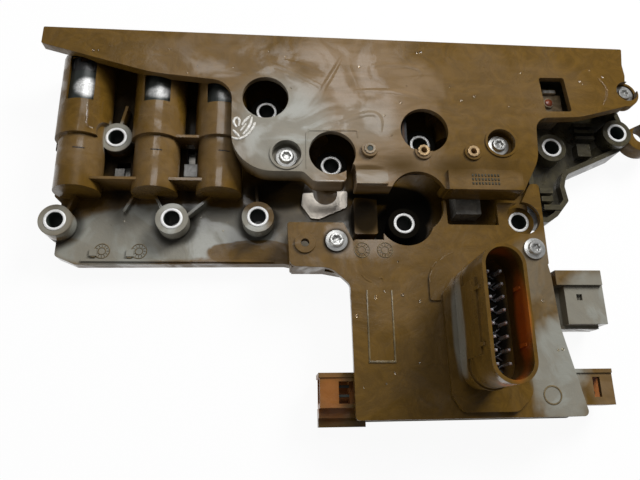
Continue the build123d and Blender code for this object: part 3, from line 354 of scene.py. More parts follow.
class FinishSettings(bpy.types.PropertyGroup):
    """Colours of the finishes."""

    brown: tint("Brown plastic", "Colour of the mouldings under the oil", (0.13, 0.07, 0.011))
    # Painted glow: amber bright enough to stand in for light shining through thin walls
    amber_glow: tint("Thin plastic", "Colour where light passes through thin walls", (0.46, 0.12, 0.013))
    # The tan film's colour also paints sheen and highlights
    film: tint("Tan film", "Colour of the dull oil film over the cover", (0.24, 0.165, 0.095))
    # The grey film's colour also paints reflections and highlights
    grey_film_and_sheen: tint("Grey film", "Colour of the dried film on the plate and the case", (0.27, 0.27, 0.235))
    manifold: tint("Manifold", "Colour of the dark moulding", (0.062, 0.052, 0.026))
    steel: tint("Steel", "Colour of zinc-plated steel", (0.86, 0.86, 0.85))
    brass: tint("Brass", "Colour of the threaded inserts", (0.55, 0.38, 0.2))


class SizeSettings(bpy.types.PropertyGroup):
    """Sizes of the modelled pieces."""

    chamfer: measure("Chamfer", "Broken edge of the steel bushes", 0.3 * MM)
    edge_radius: measure("Moulded edge", "Rounding of the moulded edges", 0.24 * MM)
    emboss: measure("Emboss", "Height of the raised marks", 0.25 * MM)
    wire: measure("Spring wire", "Thickness of the return springs' wire", 0.5 * MM)
    spring_turns: bpy.props.IntProperty(
        name="Spring turns", description="Turns of each return spring", default=4, min=1,
    )


class StageSettings(bpy.types.PropertyGroup):
    """Light and floor."""

    key_power: measure("Key light", "Strength of the lamp at the upper right", 12.5, "POWER")
    fill_power: measure("Softbox", "Strength of the soft light overhead", 2.7, "POWER")
    ambient: measure("Ambient", "Strength of the light from all round", 0.1, "NONE")


def clear():
    """Leave edit mode and deselect everything."""
    if bpy.context.object and bpy.context.object.mode != "OBJECT":
        bpy.ops.object.mode_set(mode="OBJECT")
    bpy.ops.object.select_all(action="DESELECT")


def only(obj):
    """Select one object alone and make it active."""
    clear()
    obj.select_set(True)
    bpy.context.view_layer.objects.active = obj


def edit(obj):
    """Enter edit mode on one object."""
    only(obj)
    bpy.ops.object.mode_set(mode="EDIT")


def pick(obj, test, kind="faces"):
    """In edit mode, select the faces whose centre and normal pass a test, or the edges whose ends do."""
    mesh = bmesh.from_edit_mesh(obj.data)
    mesh.select_mode = {"FACE"} if kind == "faces" else {"EDGE"}
    for item in (*mesh.faces, *mesh.edges):
        item.select_set(False)
    if kind == "faces":
        chosen = [face for face in mesh.faces if test(face.calc_center_median(), face.normal)]
    else:
        chosen = [edge for edge in mesh.edges if test(*(vertex.co for vertex in edge.verts))]
    for item in chosen:
        item.select_set(True)
    bmesh.update_edit_mesh(obj.data)


def looks_up(centre, normal):
    """Test for faces that look up."""
    return normal.z > LEVEL


def is_level(centre, normal):
    """Test for faces that look up or down."""
    return abs(normal.z) > LEVEL


def is_middle(centre, normal):
    """Test for level faces on the axis of a round piece."""
    return is_level(centre, normal) and math.hypot(centre.x, centre.y) < 0.1 * MM


def is_crown(centre, normal):
    """Test for the upper face on the axis of a round piece."""
    return looks_up(centre, normal) and is_middle(centre, normal)


def heal(merge=0.0, fill=False):
    """In edit mode, merge close points, fill open ends if asked, turn the faces outward and leave."""
    bpy.ops.mesh.select_all(action="SELECT")
    if merge:
        bpy.ops.mesh.remove_doubles(threshold=merge * MM)
    if fill:
        bpy.ops.mesh.fill_holes(sides=0)
    bpy.ops.mesh.normals_make_consistent(inside=False)
    clear()


def settle(obj):
    """Apply an object's place, turn and size to its mesh."""
    only(obj)
    bpy.ops.object.transform_apply(location=True, rotation=True, scale=True)


def cylinder(radius, low, high, sides):
    """An upright cylinder on the origin's axis, in edit mode."""
    clear()
    middle = (0, 0, (low + high) / 2)
    bpy.ops.mesh.primitive_cylinder_add(vertices=sides, radius=radius, depth=high - low, location=middle)
    made = bpy.context.object
    settle(made)
    edit(made)
    return made


def bore(piece, *rims):
    """In edit mode, bore a cylinder through, inside rims of these widths."""
    pick(piece, is_level)
    for rim in rims:
        bpy.ops.mesh.inset(thickness=rim)
        pick(piece, is_middle)
    bpy.ops.mesh.bridge_edge_loops()


def wave(piece, test, factor):
    """In edit mode, move the points that pass a test in or out, by a factor of their angle."""
    mesh = bmesh.from_edit_mesh(piece.data)
    for vertex in mesh.verts:
        if test(vertex.co):
            scale = factor(math.atan2(vertex.co.y, vertex.co.x))
            vertex.co.x *= scale
            vertex.co.y *= scale
    bmesh.update_edit_mesh(piece.data)


def apply_modifiers(obj):
    """Apply every modifier in order."""
    only(obj)
    for modifier in list(obj.modifiers):
        bpy.ops.object.modifier_apply(modifier=modifier.name)


def round_edges(obj, width, degrees=30.0):
    """Round the edges that are sharper than an angle."""
    rounded = obj.modifiers.new("edges", "BEVEL")
    rounded.width = width * MM
    rounded.segments = 2
    rounded.limit_method = "ANGLE"
    rounded.angle_limit = math.radians(degrees)
    apply_modifiers(obj)


def smooth(obj, degrees=35.0):
    """Smooth shading with sharp edges above an angle."""
    only(obj)
    bpy.ops.object.shade_smooth_by_angle(angle=math.radians(degrees))


def join(objects):
    """Join several objects into the first."""
    clear()
    for obj in objects:
        obj.select_set(True)
    bpy.context.view_layer.objects.active = objects[0]
    if len(objects) > 1:
        bpy.ops.object.join()
    return objects[0]


def copies(master, places):
    """Join a copy of a piece's mesh at each place into one piece, and drop the master."""
    made = []
    for place in places:
        twin = master.copy()
        twin.data = master.data.copy()
        bpy.context.scene.collection.objects.link(twin)
        twin.data.transform(Matrix.Translation(place))
        made.append(twin)
    bpy.data.objects.remove(master)
    return join(made)


def paint(obj, finish):
    """Give a mesh one material alone, by the name of its finish."""
    obj.data.materials.clear()
    obj.data.materials.append(materials()[finish])
    for face in obj.data.polygons:
        face.material_index = 0


def finish_piece(obj, name, finish, slot, *nodes):
    """Name a piece, give it its finish and body, and say which nodes it stands for."""
    obj.name = name
    obj.data.name = name
    paint(obj, finish)
    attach(obj, BODY)
    if nodes:
        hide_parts(*nodes)


def smooth_piece(parts, name, finish, slot, degrees=60.0):
    """Join parts into one smooth piece and finish it."""
    piece = join(parts)
    smooth(piece, degrees)
    finish_piece(piece, name, finish, slot)


def islands(node, reach):
    """Middle in plan and highest point of each separate solid of a node."""
    found = []
    for vertex in frame["nodes"][node].data.vertices:
        spot = vertex.co
        for group in found:
            if math.hypot(spot.x - group[0].x, spot.y - group[0].y) < reach:
                group.append(spot)
                break
        else:
            found.append([spot])
    solids = []
    for group in found:
        xs, ys, zs = zip(*group)
        solids.append((Vector(((min(xs) + max(xs)) / 2, (min(ys) + max(ys)) / 2, 0)), max(zs)))
    return solids


def surface_height(x, y):
    """Height of the highest packed surface at a place in plan, in millimetres."""
    high = CAD_BOX[1][2] + 1 * MM
    found = [0.0]
    for name in TOP_NODES:
        hit, place, _, _ = frame["nodes"][name].ray_cast(Vector((*mm(x, y), high)), Vector((0, 0, -1)))
        if hit:
            found.append(place.z / MM)
    return max(found)


def trail(points, radius, flat, order=3, fade=1.0):
    """A low raised line over the surface, thinner at its ends: a tube, pressed flat onto it."""
    clear()
    bpy.ops.curve.primitive_nurbs_path_add(location=(0, 0, 0))
    curve = bpy.context.object.data
    curve.splines.clear()
    spline = curve.splines.new("NURBS")
    last = len(points) - 1
    spline.points.add(last)
    thin = 0.55
    for number, (point, (x, y)) in enumerate(zip(spline.points, points)):
        point.co = (*mm(x, y, surface_height(x, y)), 1)
        point.radius = thin if number in (0, last) else 1.0
    spline.order_u = order
    spline.use_endpoint_u = True
    spline.resolution_u = 8
    curve.bevel_depth = radius * MM
    curve.bevel_resolution = 4
    curve.use_fill_caps = True
    bpy.ops.object.convert(target="MESH")
    line = bpy.context.object
    edit(line)
    heal(merge=0.005)
    near, sunk = 1.5, 0.1
    for vertex in line.data.vertices:
        x, y, z = (value / MM for value in vertex.co)
        level = surface_height(x, y)
        lift = (z - level) / radius
        if 0 < lift < near:
            vertex.co.z = (level + flat * radius * min(lift, 1.0) ** fade) * MM
        elif -near < lift <= 0:
            vertex.co.z = (level + sunk * radius * lift) * MM
    return line


def ring(place, radius, width, level, height):
    """A low round ridge."""
    clear()
    x, y = mm(*place)
    bpy.ops.mesh.primitive_torus_add(
        location=(x, y, level), major_radius=radius * MM, minor_radius=width * MM,
        major_segments=48, minor_segments=8,
    )
    made = bpy.context.object
    made.scale = (1, 1, height / (width * MM))
    settle(made)
    return made


def bar(x0, x1, y0, y1, level, height):
    """A low straight ridge with broken edges."""
    clear()
    bpy.ops.mesh.primitive_cube_add(size=1, location=mm((x0 + x1) / 2, (y0 + y1) / 2, 0))
    made = bpy.context.object
    made.location.z = level
    made.scale = ((x1 - x0) * MM, (y1 - y0) * MM, 2 * height)
    settle(made)
    edit(made)
    pick(made, looks_up)
    bpy.ops.mesh.bevel(offset=min(height, 0.15 * MM), segments=2)
    clear()
    return made


def turned(piece, x, y, angle):
    """Turn a piece's mesh about an upright line through a place."""
    centre = Matrix.Translation(mm(x, y, 0))
    piece.data.transform(centre @ Matrix.Rotation(angle, 4, "Z") @ centre.inverted())
    return piece


def drop(place, radius, stretch):
    """One low drop, flat underneath, a little longer than wide."""
    clear()
    bpy.ops.mesh.primitive_uv_sphere_add(segments=14, ring_count=10, radius=radius * MM)
    made = bpy.context.object
    edit(made)
    bpy.ops.mesh.select_all(action="SELECT")
    cut = (0, 0, DROP_CUT * radius * MM)
    bpy.ops.mesh.bisect(plane_co=cut, plane_no=(0, 0, 1), use_fill=True, clear_inner=True)
    clear()
    x, y = place
    made.scale = (1.0, stretch, DROP_FLAT)
    made.location = mm(x, y, surface_height(x, y) - DROP_SUNK * radius)
    settle(made)
    return made


class Shader:
    """Short ways to build a material's or a group's node tree."""

    def __init__(self, tree):
        self.tree = tree

    def node(self, kind, **settings):
        """Add one node, with its own settings."""
        made = self.tree.nodes.new(kind)
        for key, value in settings.items():
            setattr(made, key, value)
        return made

    def feed(self, made, **values):
        """Set or link a node's inputs, by number as i0 or by name with spaces as underscores."""
        for key, value in values.items():
            number = key[1:] if key[0] == "i" else ""
            socket = made.inputs[int(number) if number.isdigit() else key.replace("_", " ")]
            if isinstance(value, bpy.types.NodeSocket):
                self.tree.links.new(value, socket)
            else:
                socket.default_value = value
        return made

    def math(self, operation, first, second):
        """A math node's result."""
        made = self.node("ShaderNodeMath", operation=operation)
        return self.feed(made, i0=first, i1=second).outputs[0]

    def plus(self, first, second):
        """Sum of two values."""
        return self.math("ADD", first, second)

    def times(self, first, second):
        """Product of two values."""
        return self.math("MULTIPLY", first, second)

    def greater(self, first, second):
        """Greater of two values."""
        return self.math("MAXIMUM", first, second)

    def without(self, mask, whole=1.0):
        """What a mask leaves of a whole."""
        return self.math("SUBTRACT", whole, mask)

    def vector(self, operation, first, second):
        """A vector math node's result."""
        made = self.node("ShaderNodeVectorMath", operation=operation)
        return self.feed(made, i0=first, i1=second).outputs[0]

    def noise(self, vector, scale, detail, roughness=0.5, distortion=0.0):
        """A noise texture's factor."""
        made = self.node("ShaderNodeTexNoise")
        self.feed(made, Vector=vector, Scale=scale, Detail=detail, Roughness=roughness, Distortion=distortion)
        return made.outputs["Fac"]

    def ramp(self, value, low, high, start=0.0, end=1.0):
        """A value mapped smoothly from one range to another."""
        made = self.node("ShaderNodeMapRange", interpolation_type="SMOOTHSTEP")
        self.feed(made, Value=value, From_Min=low, From_Max=high, To_Min=start, To_Max=end)
        return made.outputs[0]

    def mix(self, factor, first, second):
        """A mix of two colours."""
        made = self.node("ShaderNodeMix", data_type="RGBA")
        return self.feed(made, i0=factor, i6=first, i7=second).outputs[2]

    def blend(self, factor, first, second):
        """A mix of two shaders."""
        made = self.node("ShaderNodeMixShader")
        return self.feed(made, i0=factor, i1=first, i2=second).outputs[0]

    def light(self, kind, strength):
        """White light of a strength, from a background or an emission."""
        made = self.node("ShaderNode" + kind)
        return self.feed(made, Color=(1, 1, 1, 1), Strength=strength).outputs[0]

    def seen(self):
        """Masks of the rays that come from the camera, also through oil, and of mirrored rays."""
        path = self.node("ShaderNodeLightPath").outputs
        return self.greater(path["Is Camera Ray"], path["Is Transmission Ray"]), path["Is Glossy Ray"]

    def group(self, name, **values):
        """A shared effect's node, with this material's values."""
        made = self.node("ShaderNodeGroup", node_tree=effects()[name])
        return self.feed(made, **values)


def new_group(name, inputs, outputs):
    """Empty shader node group with named sockets."""
    tree = bpy.data.node_groups.new(name, "ShaderNodeTree")
    for socket, kind, default in inputs:
        made = tree.interface.new_socket(socket, in_out="INPUT", socket_type="NodeSocket" + kind)
        made.default_value = default
    for socket in outputs:
        tree.interface.new_socket(socket, in_out="OUTPUT", socket_type="NodeSocketFloat")
    shader = Shader(tree)
    given = shader.node("NodeGroupInput").outputs[:len(inputs)]
    return shader, given, shader.node("NodeGroupOutput")


def region_group():
    """Mask of an oval region of the object, with an uneven edge."""
    shader, (spot, centre, size, softness, unevenness), out = new_group(
        "region",
        (("Vector", "Vector", (0, 0, 0)), ("Centre", "Vector", (0, 0, 0)), ("Size", "Vector", (1, 1, 1)),
         ("Softness", "Float", 0.5), ("Unevenness", "Float", 0.3)),
        ("Mask",),
    )
    length = shader.node("ShaderNodeVectorMath", operation="LENGTH")
    shader.feed(length, i0=shader.vector("DIVIDE", shader.vector("SUBTRACT", spot, centre), size))
    wander = shader.math("SUBTRACT", shader.noise(spot, 45.0, 3.0, 0.6, 0.8), 0.5)
    wander = shader.times(shader.times(wander, unevenness), 4.0)
    reach = shader.plus(length.outputs["Value"], wander)
    edge = shader.ramp(reach, shader.without(softness), shader.plus(1.0, softness), 1.0, 0.0)
    shader.feed(out, Mask=edge)


def oil_group():
    """Oil on a surface: a mask of wet pools, streaks across the mould flow, and a height."""
    shader, (spot, scale), out = new_group(
        "oil",
        (("Vector", "Vector", (0, 0, 0)), ("Scale", "Float", 60.0)),
        ("Wet", "Streak", "Height"),
    )
    pools = shader.noise(spot, scale, 4.0, 0.55, 1.6)
    streaks = shader.noise(spot, shader.times(scale, 2.4), 5.0, 0.65, 2.5)
    fine = shader.noise(spot, shader.times(scale, 9.0), 3.0, 0.6, 0.3)
    waves = shader.plus(pools, shader.times(streaks, 0.35))
    shader.feed(out, Wet=shader.ramp(pools, 0.42, 0.62), Streak=shader.ramp(streaks, 0.35, 0.7))
    shader.feed(out, Height=shader.plus(waves, shader.times(fine, 0.06)))


def grain_group():
    """Fine grain of a moulded or ground surface: a mask and a height."""
    shader, (spot, scale), out = new_group(
        "grain",
        (("Vector", "Vector", (0, 0, 0)), ("Scale", "Float", 900.0)),
        ("Mask", "Height"),
    )
    coarse = shader.noise(spot, scale, 4.0, 0.6)
    pits = shader.feed(shader.node("ShaderNodeTexVoronoi", feature="F1"), Vector=spot, Scale=scale)
    height = shader.plus(coarse, shader.times(pits.outputs["Distance"], 0.3))
    shader.feed(out, Mask=coarse, Height=height)


def effects():
    """The shared effects, each built once."""
    if "region" not in bpy.data.node_groups:
        region_group()
        oil_group()
        grain_group()
    return bpy.data.node_groups


def new_material(name):
    """Start a material: its tree, its surface shader and its object coordinates."""
    material = bpy.data.materials.new(name + "_finish")
    FINISHES[name] = material
    material.use_nodes = True
    material.node_tree.nodes.clear()
    shader = Shader(material.node_tree)
    surface = shader.node("ShaderNodeBsdfPrincipled")
    shader.feed(shader.node("ShaderNodeOutputMaterial"), Surface=surface.outputs[0])
    spot = shader.node("ShaderNodeTexCoord").outputs["Object"]
    return shader, surface, spot


def relief(shader, surface, height, distance, radius=0.0):
    """Bump from a height, over edges rounded by a radius."""
    bump = shader.node("ShaderNodeBump")
    shader.feed(bump, Height=height, Distance=distance, Strength=1.0)
    if radius > 0:
        edge = shader.node("ShaderNodeBevel", samples=6)
        shader.feed(edge, Radius=radius)
        shader.feed(bump, Normal=edge.outputs[0])
    shader.feed(surface, Normal=bump.outputs[0])


def opaque(colour, share=1.0):
    """A colour cut down to a share of its light, with nothing shining through."""
    return (*(value * share for value in colour[:3]), 1)


def region_masks(shader, spot, regions):
    """Greatest of several region masks."""
    total = None
    for centre, size, softness, unevenness, strength in regions:
        made = shader.group("region", Vector=spot, Centre=mm(*centre), Size=mm(*size))
        shader.feed(made, Softness=softness, Unevenness=unevenness)
        mask = shader.times(made.outputs["Mask"], strength)
        total = mask if total is None else shader.greater(total, mask)
    return total


def smeared(shader, spot):
    """Smears that were wiped across the cover, as a share from faint to full."""
    slanted = shader.node("ShaderNodeMapping")
    shader.feed(slanted, Vector=spot, Rotation=(0, 0, math.radians(22)), Scale=(0.22, 1.0, 1.0))
    smear = shader.ramp(shader.noise(slanted.outputs[0], 190.0, 4.0, 0.55, 0.6), 0.36, 0.64)
    return shader.ramp(smear, 0.0, 1.0, 0.62, 1.0)


def brown_plastic(name, radius):
    """Glass-filled nylon, brown and wet with old oil, with painted sheen, painted glow and painted shade in its
    regions.
    """
    finish = bpy.context.scene.module_finish
    shader, surface, spot = new_material(name)
    oil = shader.group("oil", Vector=spot, Scale=38.0).outputs
    grain = shader.group("grain", Vector=spot, Scale=1400.0).outputs
    wet = oil["Wet"]
    tan, grey, bare, valley_shade, thin, shade = (
        region_masks(shader, spot, regions)
        for regions in (TAN_FILM_AND_SHEEN, GREY_FILM_AND_SHEEN, BARE, SHADED_VALLEYS, THIN_WALL_GLOW, DEEP_SHADE)
    )
    tan = shader.times(tan, smeared(shader, spot))
    grey = shader.times(grey, shader.ramp(wet, 0.0, 1.0, 0.75, 1.0))
    grey = shader.times(grey, shader.without(bare))
    base = shader.mix(oil["Streak"], opaque(finish.brown, 0.72), opaque(finish.brown))
    # Painted light and shade in the colour: the films also paint sheen, the thin walls a glow, the valleys and
    # deep places shade
    for mask, colour in (
        (tan, finish.film), (grey, finish.grey_film_and_sheen), (valley_shade, (0.05, 0.027, 0.004)),
        (thin, finish.amber_glow), (shade, (0.004, 0.003, 0.0015)),
    ):
        base = shader.mix(mask, base, opaque(colour))
    # Where shade is painted, the surface is also made rough and without coat
    dull = shader.greater(shade, valley_shade)
    rough = shader.plus(shader.ramp(wet, 0.0, 1.0, 0.36, 0.24), shader.times(grain["Mask"], 0.08))
    rough = shader.greater(rough, shader.times(dull, 0.9))
    gloss = shader.without(shader.greater(dull, shader.times(bare, 0.7)))
    gloss = shader.times(shader.ramp(wet, 0.0, 1.0, 0.03, 0.6), gloss)
    shader.feed(surface, Base_Color=base, Roughness=rough, Coat_Weight=gloss)
    shader.feed(surface, Coat_Roughness=0.08, Coat_IOR=1.47, Specular_IOR_Level=0.17)
    height = shader.plus(oil["Height"], shader.times(grain["Height"], 0.012))
    relief(shader, surface, height, 0.4 * MM, radius)


def plain_plastic(name, colour, roughness, coat):
    """Moulded plastic with a grain and a little oil."""
    shader, surface, spot = new_material(name)
    oil = shader.group("oil", Vector=spot, Scale=55.0).outputs
    grain = shader.group("grain", Vector=spot, Scale=1600.0).outputs
    shader.feed(surface, Base_Color=shader.mix(oil["Streak"], opaque(colour, 0.55), opaque(colour)))
    rough = shader.ramp(oil["Wet"], 0.0, 1.0, roughness, roughness * 0.55)
    shader.feed(surface, Roughness=rough, Coat_Weight=coat, Coat_Roughness=0.08)
    height = shader.plus(oil["Height"], shader.times(grain["Height"], 0.02))
    relief(shader, surface, height, 0.35 * MM, 0.3 * MM)


def metal(name, colour, roughness, grime, metallic, stretch=EVEN):
    """Bare or plated metal, brushed along a direction and stained by oil."""
    shader, surface, spot = new_material(name)
    stretched = shader.feed(shader.node("ShaderNodeMapping"), Vector=spot, Scale=stretch)
    brushed = shader.group("grain", Vector=stretched.outputs[0], Scale=1100.0).outputs
    oil = shader.group("oil", Vector=spot, Scale=120.0).outputs
    stain = shader.times(oil["Wet"], grime)
    base = shader.mix(stain, opaque(colour), opaque(colour, 0.35))
    rough = shader.plus(shader.times(brushed["Mask"], 0.22), roughness - 0.08)
    shader.feed(surface, Metallic=metallic, Base_Color=base, Roughness=rough)
    relief(shader, surface, brushed["Height"], 0.02 * MM, 0.12 * MM)


def can_steel():
    """Solenoid cans: painted bright where the light reaches in, streaked with oil, and painted dark as shade
    behind.
    """
    shader, surface, spot = new_material("can_steel")
    oil = shader.group("oil", Vector=spot, Scale=150.0).outputs
    lit = region_masks(shader, spot, LIT_CANS)
    lit = shader.times(lit, shader.ramp(oil["Streak"], 0.0, 1.0, 0.6, 1.0))
    base = shader.mix(lit, (0.03, 0.035, 0.032, 1), opaque(bpy.context.scene.module_finish.steel))
    shader.feed(surface, Base_Color=base, Roughness=0.3, Metallic=0.3)
    relief(shader, surface, oil["Height"], 0.1 * MM)


def clear_oil():
    """Runs and drops of clear oil."""
    shader, surface, spot = new_material("clear_oil")
    swirl = shader.group("oil", Vector=spot, Scale=90.0).outputs
    base = shader.mix(swirl["Wet"], (0.9, 0.84, 0.72, 1), (0.97, 0.95, 0.9, 1))
    shader.feed(surface, Base_Color=base, Roughness=0.03, IOR=1.47, Transmission_Weight=1.0)


def curl_highlight():
    """Old oil in curls at the cover's edge, painted pale white as the highlight on the wet oil."""
    shader, surface, spot = new_material("curl_highlight")
    swirl = shader.group("oil", Vector=spot, Scale=260.0).outputs
    base = shader.mix(swirl["Streak"], (0.4, 0.37, 0.3, 1), (0.93, 0.92, 0.9, 1))
    shader.feed(surface, Base_Color=base, Roughness=0.2, Coat_Weight=0.8, Coat_Roughness=0.05)
    relief(shader, surface, swirl["Height"], 0.2 * MM)


def materials():
    """All materials by the name of their finish, each built once."""
    if "brown_plastic" not in FINISHES:
        finish = bpy.context.scene.module_finish
        brown_plastic("brown_plastic", bpy.context.scene.module_sizes.edge_radius)
        brown_plastic("soft_brown", 0.0)
        plain_plastic("dark_plastic", finish.manifold, 0.4, 0.3)
        for name, look in PLASTICS.items():
            plain_plastic(name, *look)
        metal("bright_steel", finish.steel, 0.42, 0.2, 0.3)
        metal("brass", finish.brass, 0.36, 0.4, 0.5)
        for name, look in METALS.items():
            metal(name, *look)
        can_steel()
        clear_oil()
        curl_highlight()
    return FINISHES


class MODULE_OT_stage(bpy.types.Operator):
    """Set up the camera, the pale floor and the soft studio light"""

    bl_idname = "module.stage"
    bl_label = "Stage"

    def execute(self, context):
        self.camera(context.scene)
        self.floor()
        self.lights(context.scene)
        self.surroundings(context.scene)
        context.scene.view_settings.view_transform = "Standard"
        return {"FINISHED"}

    def camera(self, scene):
        """Camera at the photograph's viewing angle."""
        data = bpy.data.cameras.new("photo_camera")
        data.lens, data.sensor_width, data.clip_start = CAMERA_LENS, CAMERA_SENSOR, CAMERA_NEAR
        camera = bpy.data.objects.new("photo_camera", data)
        scene.collection.objects.link(camera)
        turn = Matrix((CAMERA_RIGHT, CAMERA_UP, CAMERA_BACK)).transposed().to_4x4()
        camera.matrix_world = Matrix.Translation(CAMERA_PLACE) @ turn
        scene.camera = camera

    def floor(self):
        """Large plane just under the object."""
        clear()
        bpy.ops.mesh.primitive_plane_add(size=FLOOR_SIZE, location=(0, 0, CAD_BOX[0][2] - FLOOR_DROP))
        floor = bpy.context.object
        floor.name = "floor"
        settle(floor)
        self.floor_finish()
        floor.data.materials.append(FINISHES["pale_floor"])

    def floor_finish(self):
        """White to the camera with a soft shadow, dark under the bores, and clear from below."""
        shader, surface, spot = new_material("pale_floor")
        mottle = shader.mix(shader.noise(spot, 14.0, 3.0), (0.86, 0.86, 0.86, 1), (0.9, 0.9, 0.9, 1))
        shader.feed(surface, Base_Color=mottle, Roughness=0.9)
        seen, mirrored = shader.seen()
        seen = shader.greater(seen, mirrored)
        bores = [
            ((place.x / MM, place.y / MM + BORE_SHIFT, 0), (BORE_SHADE, BORE_SHADE, BORE_DEPTH), 0.1, 0, 0.9)
            for place, _ in islands("compression_limiters", BUSH_REACH)
        ]
        white = shader.without(region_masks(shader, spot, bores), FLOOR_WHITE)
        above = shader.blend(shader.times(seen, white), surface.outputs[0], shader.light("Emission", 1.0))
        below = shader.node("ShaderNodeBsdfTransparent").outputs[0]
        backfacing = shader.node("ShaderNodeNewGeometry").outputs["Backfacing"]
        out = next(node for node in shader.tree.nodes if node.type == "OUTPUT_MATERIAL")
        shader.feed(out, Surface=shader.blend(backfacing, above, below))

    def lights(self, scene):
        """A key lamp at the upper right and softboxes that the wet top mirrors."""
        for name, place, size, setting, share in LAMPS:
            data = bpy.data.lights.new(name, "AREA")
            data.shape = "RECTANGLE"
            data.size, data.size_y = size
            data.energy = share * getattr(scene.module_stage, setting)
            lamp = bpy.data.objects.new(name, data)
            scene.collection.objects.link(lamp)
            lamp.location = place
            lamp.visible_glossy = name != "key"
            lamp.rotation_euler = Vector(place).to_track_quat("Z", "Y").to_euler()

    def surroundings(self, scene):
        """Even light from all round, white where the camera looks past the floor."""
        world = bpy.data.worlds.new("studio")
        scene.world = world
        world.use_nodes = True
        world.node_tree.nodes.clear()
        shader = Shader(world.node_tree)
        around = shader.light("Background", scene.module_stage.ambient)
        seen, mirrored = shader.seen()
        seen = shader.greater(seen, shader.times(mirrored, GLOSSY_WHITE))
        both = shader.blend(seen, around, shader.light("Background", 1.0))
        shader.feed(shader.node("ShaderNodeOutputWorld"), Surface=both)


class MODULE_OT_nodes(bpy.types.Operator):
    """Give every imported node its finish"""

    bl_idname = "module.nodes"
    bl_label = "Moulded and metal parts"

    def execute(self, context):
        for entry in frame["record"]["subparts"]:
            name = entry["node"]
            paint(frame["nodes"][name], NODE_FINISHES.get(name, entry["material_slot"]))
        return {"FINISHED"}


class MODULE_OT_limiters(bpy.types.Operator):
    """Turn the steel bushes of the bolt bosses, with chamfered ends and oily bores painted near-black as shade"""

    bl_idname = "module.limiters"
    bl_label = "Compression limiters"

    def execute(self, context):
        low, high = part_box("compression_limiters")
        places = [place for place, _ in islands("compression_limiters", BUSH_REACH)]
        rings = copies(self.bush(high.z - low.z, context.scene.module_sizes.chamfer), places)
        finish_piece(rings, "limiter_rings", "bright_steel", "bright_steel", "compression_limiters")
        rings.data.materials.append(materials()["oily_bore"])
        for face in rings.data.polygons:
            middle = min(places, key=lambda place: (face.center.xy - place.xy).length)
            inside = (face.center.xy - middle.xy).length < BORE_OUTER
            if inside and abs(face.normal.z) < 0.3:
                face.material_index = 1
        return {"FINISHED"}

    def bush(self, height, chamfer):
        """One bush, standing on the floor at the origin."""
        bush = cylinder(BUSH_OUTER, 0, height, sides=64)
        bore(bush, BUSH_OUTER - BUSH_INNER)
        pick(bush, self.is_rim, "edges")
        bpy.ops.mesh.bevel(offset=chamfer, segments=2, affect="EDGES")
        heal()
        smooth(bush)
        return bush

    def is_rim(self, first, last):
        """Test for edges that run round the bush."""
        radii = [math.hypot(end.x, end.y) for end in (first, last)]
        return abs(first.z - last.z) < CLOSE and abs(radii[0] - radii[1]) < CLOSE


class MODULE_OT_screws(bpy.types.Operator):
    """Form the flange screws, with domed heads and six-lobe sockets"""

    bl_idname = "module.screws"
    bl_label = "Flange screws"

    def execute(self, context):
        spots = islands("flange_screws", SCREW_REACH)
        places = [place + Vector((0, 0, top - SCREW_HEAD)) for place, top in spots]
        screws = copies(self.screw(), places)
        finish_piece(screws, "screw_heads", "screw_steel", "bright_steel", "flange_screws")
        return {"FINISHED"}

    def screw(self):
        """One screw with its flange's underside at the origin."""
        screw = cylinder(SCREW_OUTER, 0, SCREW_FLANGE, sides=48)
        pick(screw, is_crown)
        bpy.ops.mesh.inset(thickness=FLANGE_RIM)
        self.pull(SCREW_HEAD - SCREW_FLANGE)
        bpy.ops.transform.resize(value=(0.9, 0.9, 1))
        bpy.ops.mesh.inset(thickness=SOCKET_RIM)
        wave(screw, self.is_socket, lambda angle: 1.0 + 0.16 * math.cos(6 * angle))
        pick(screw, is_crown)
        self.pull(-SOCKET_DEPTH)
        pick(screw, lambda centre, normal: normal.z < -LEVEL)
        bpy.ops.mesh.inset(thickness=SHANK_RIM)
        self.pull(-SCREW_LENGTH)
        clear()
        round_edges(screw, 0.22)
        smooth(screw)
        return screw

    def pull(self, height):
        """Extrude the selected faces upward."""
        bpy.ops.mesh.extrude_region_move(TRANSFORM_OT_translate={"value": (0, 0, height)})

    def is_socket(self, spot):
        """Test for the points round the socket, on top of the head."""
        return spot.z > SCREW_HEAD - CLOSE and math.hypot(spot.x, spot.y) < SOCKET_OUTER


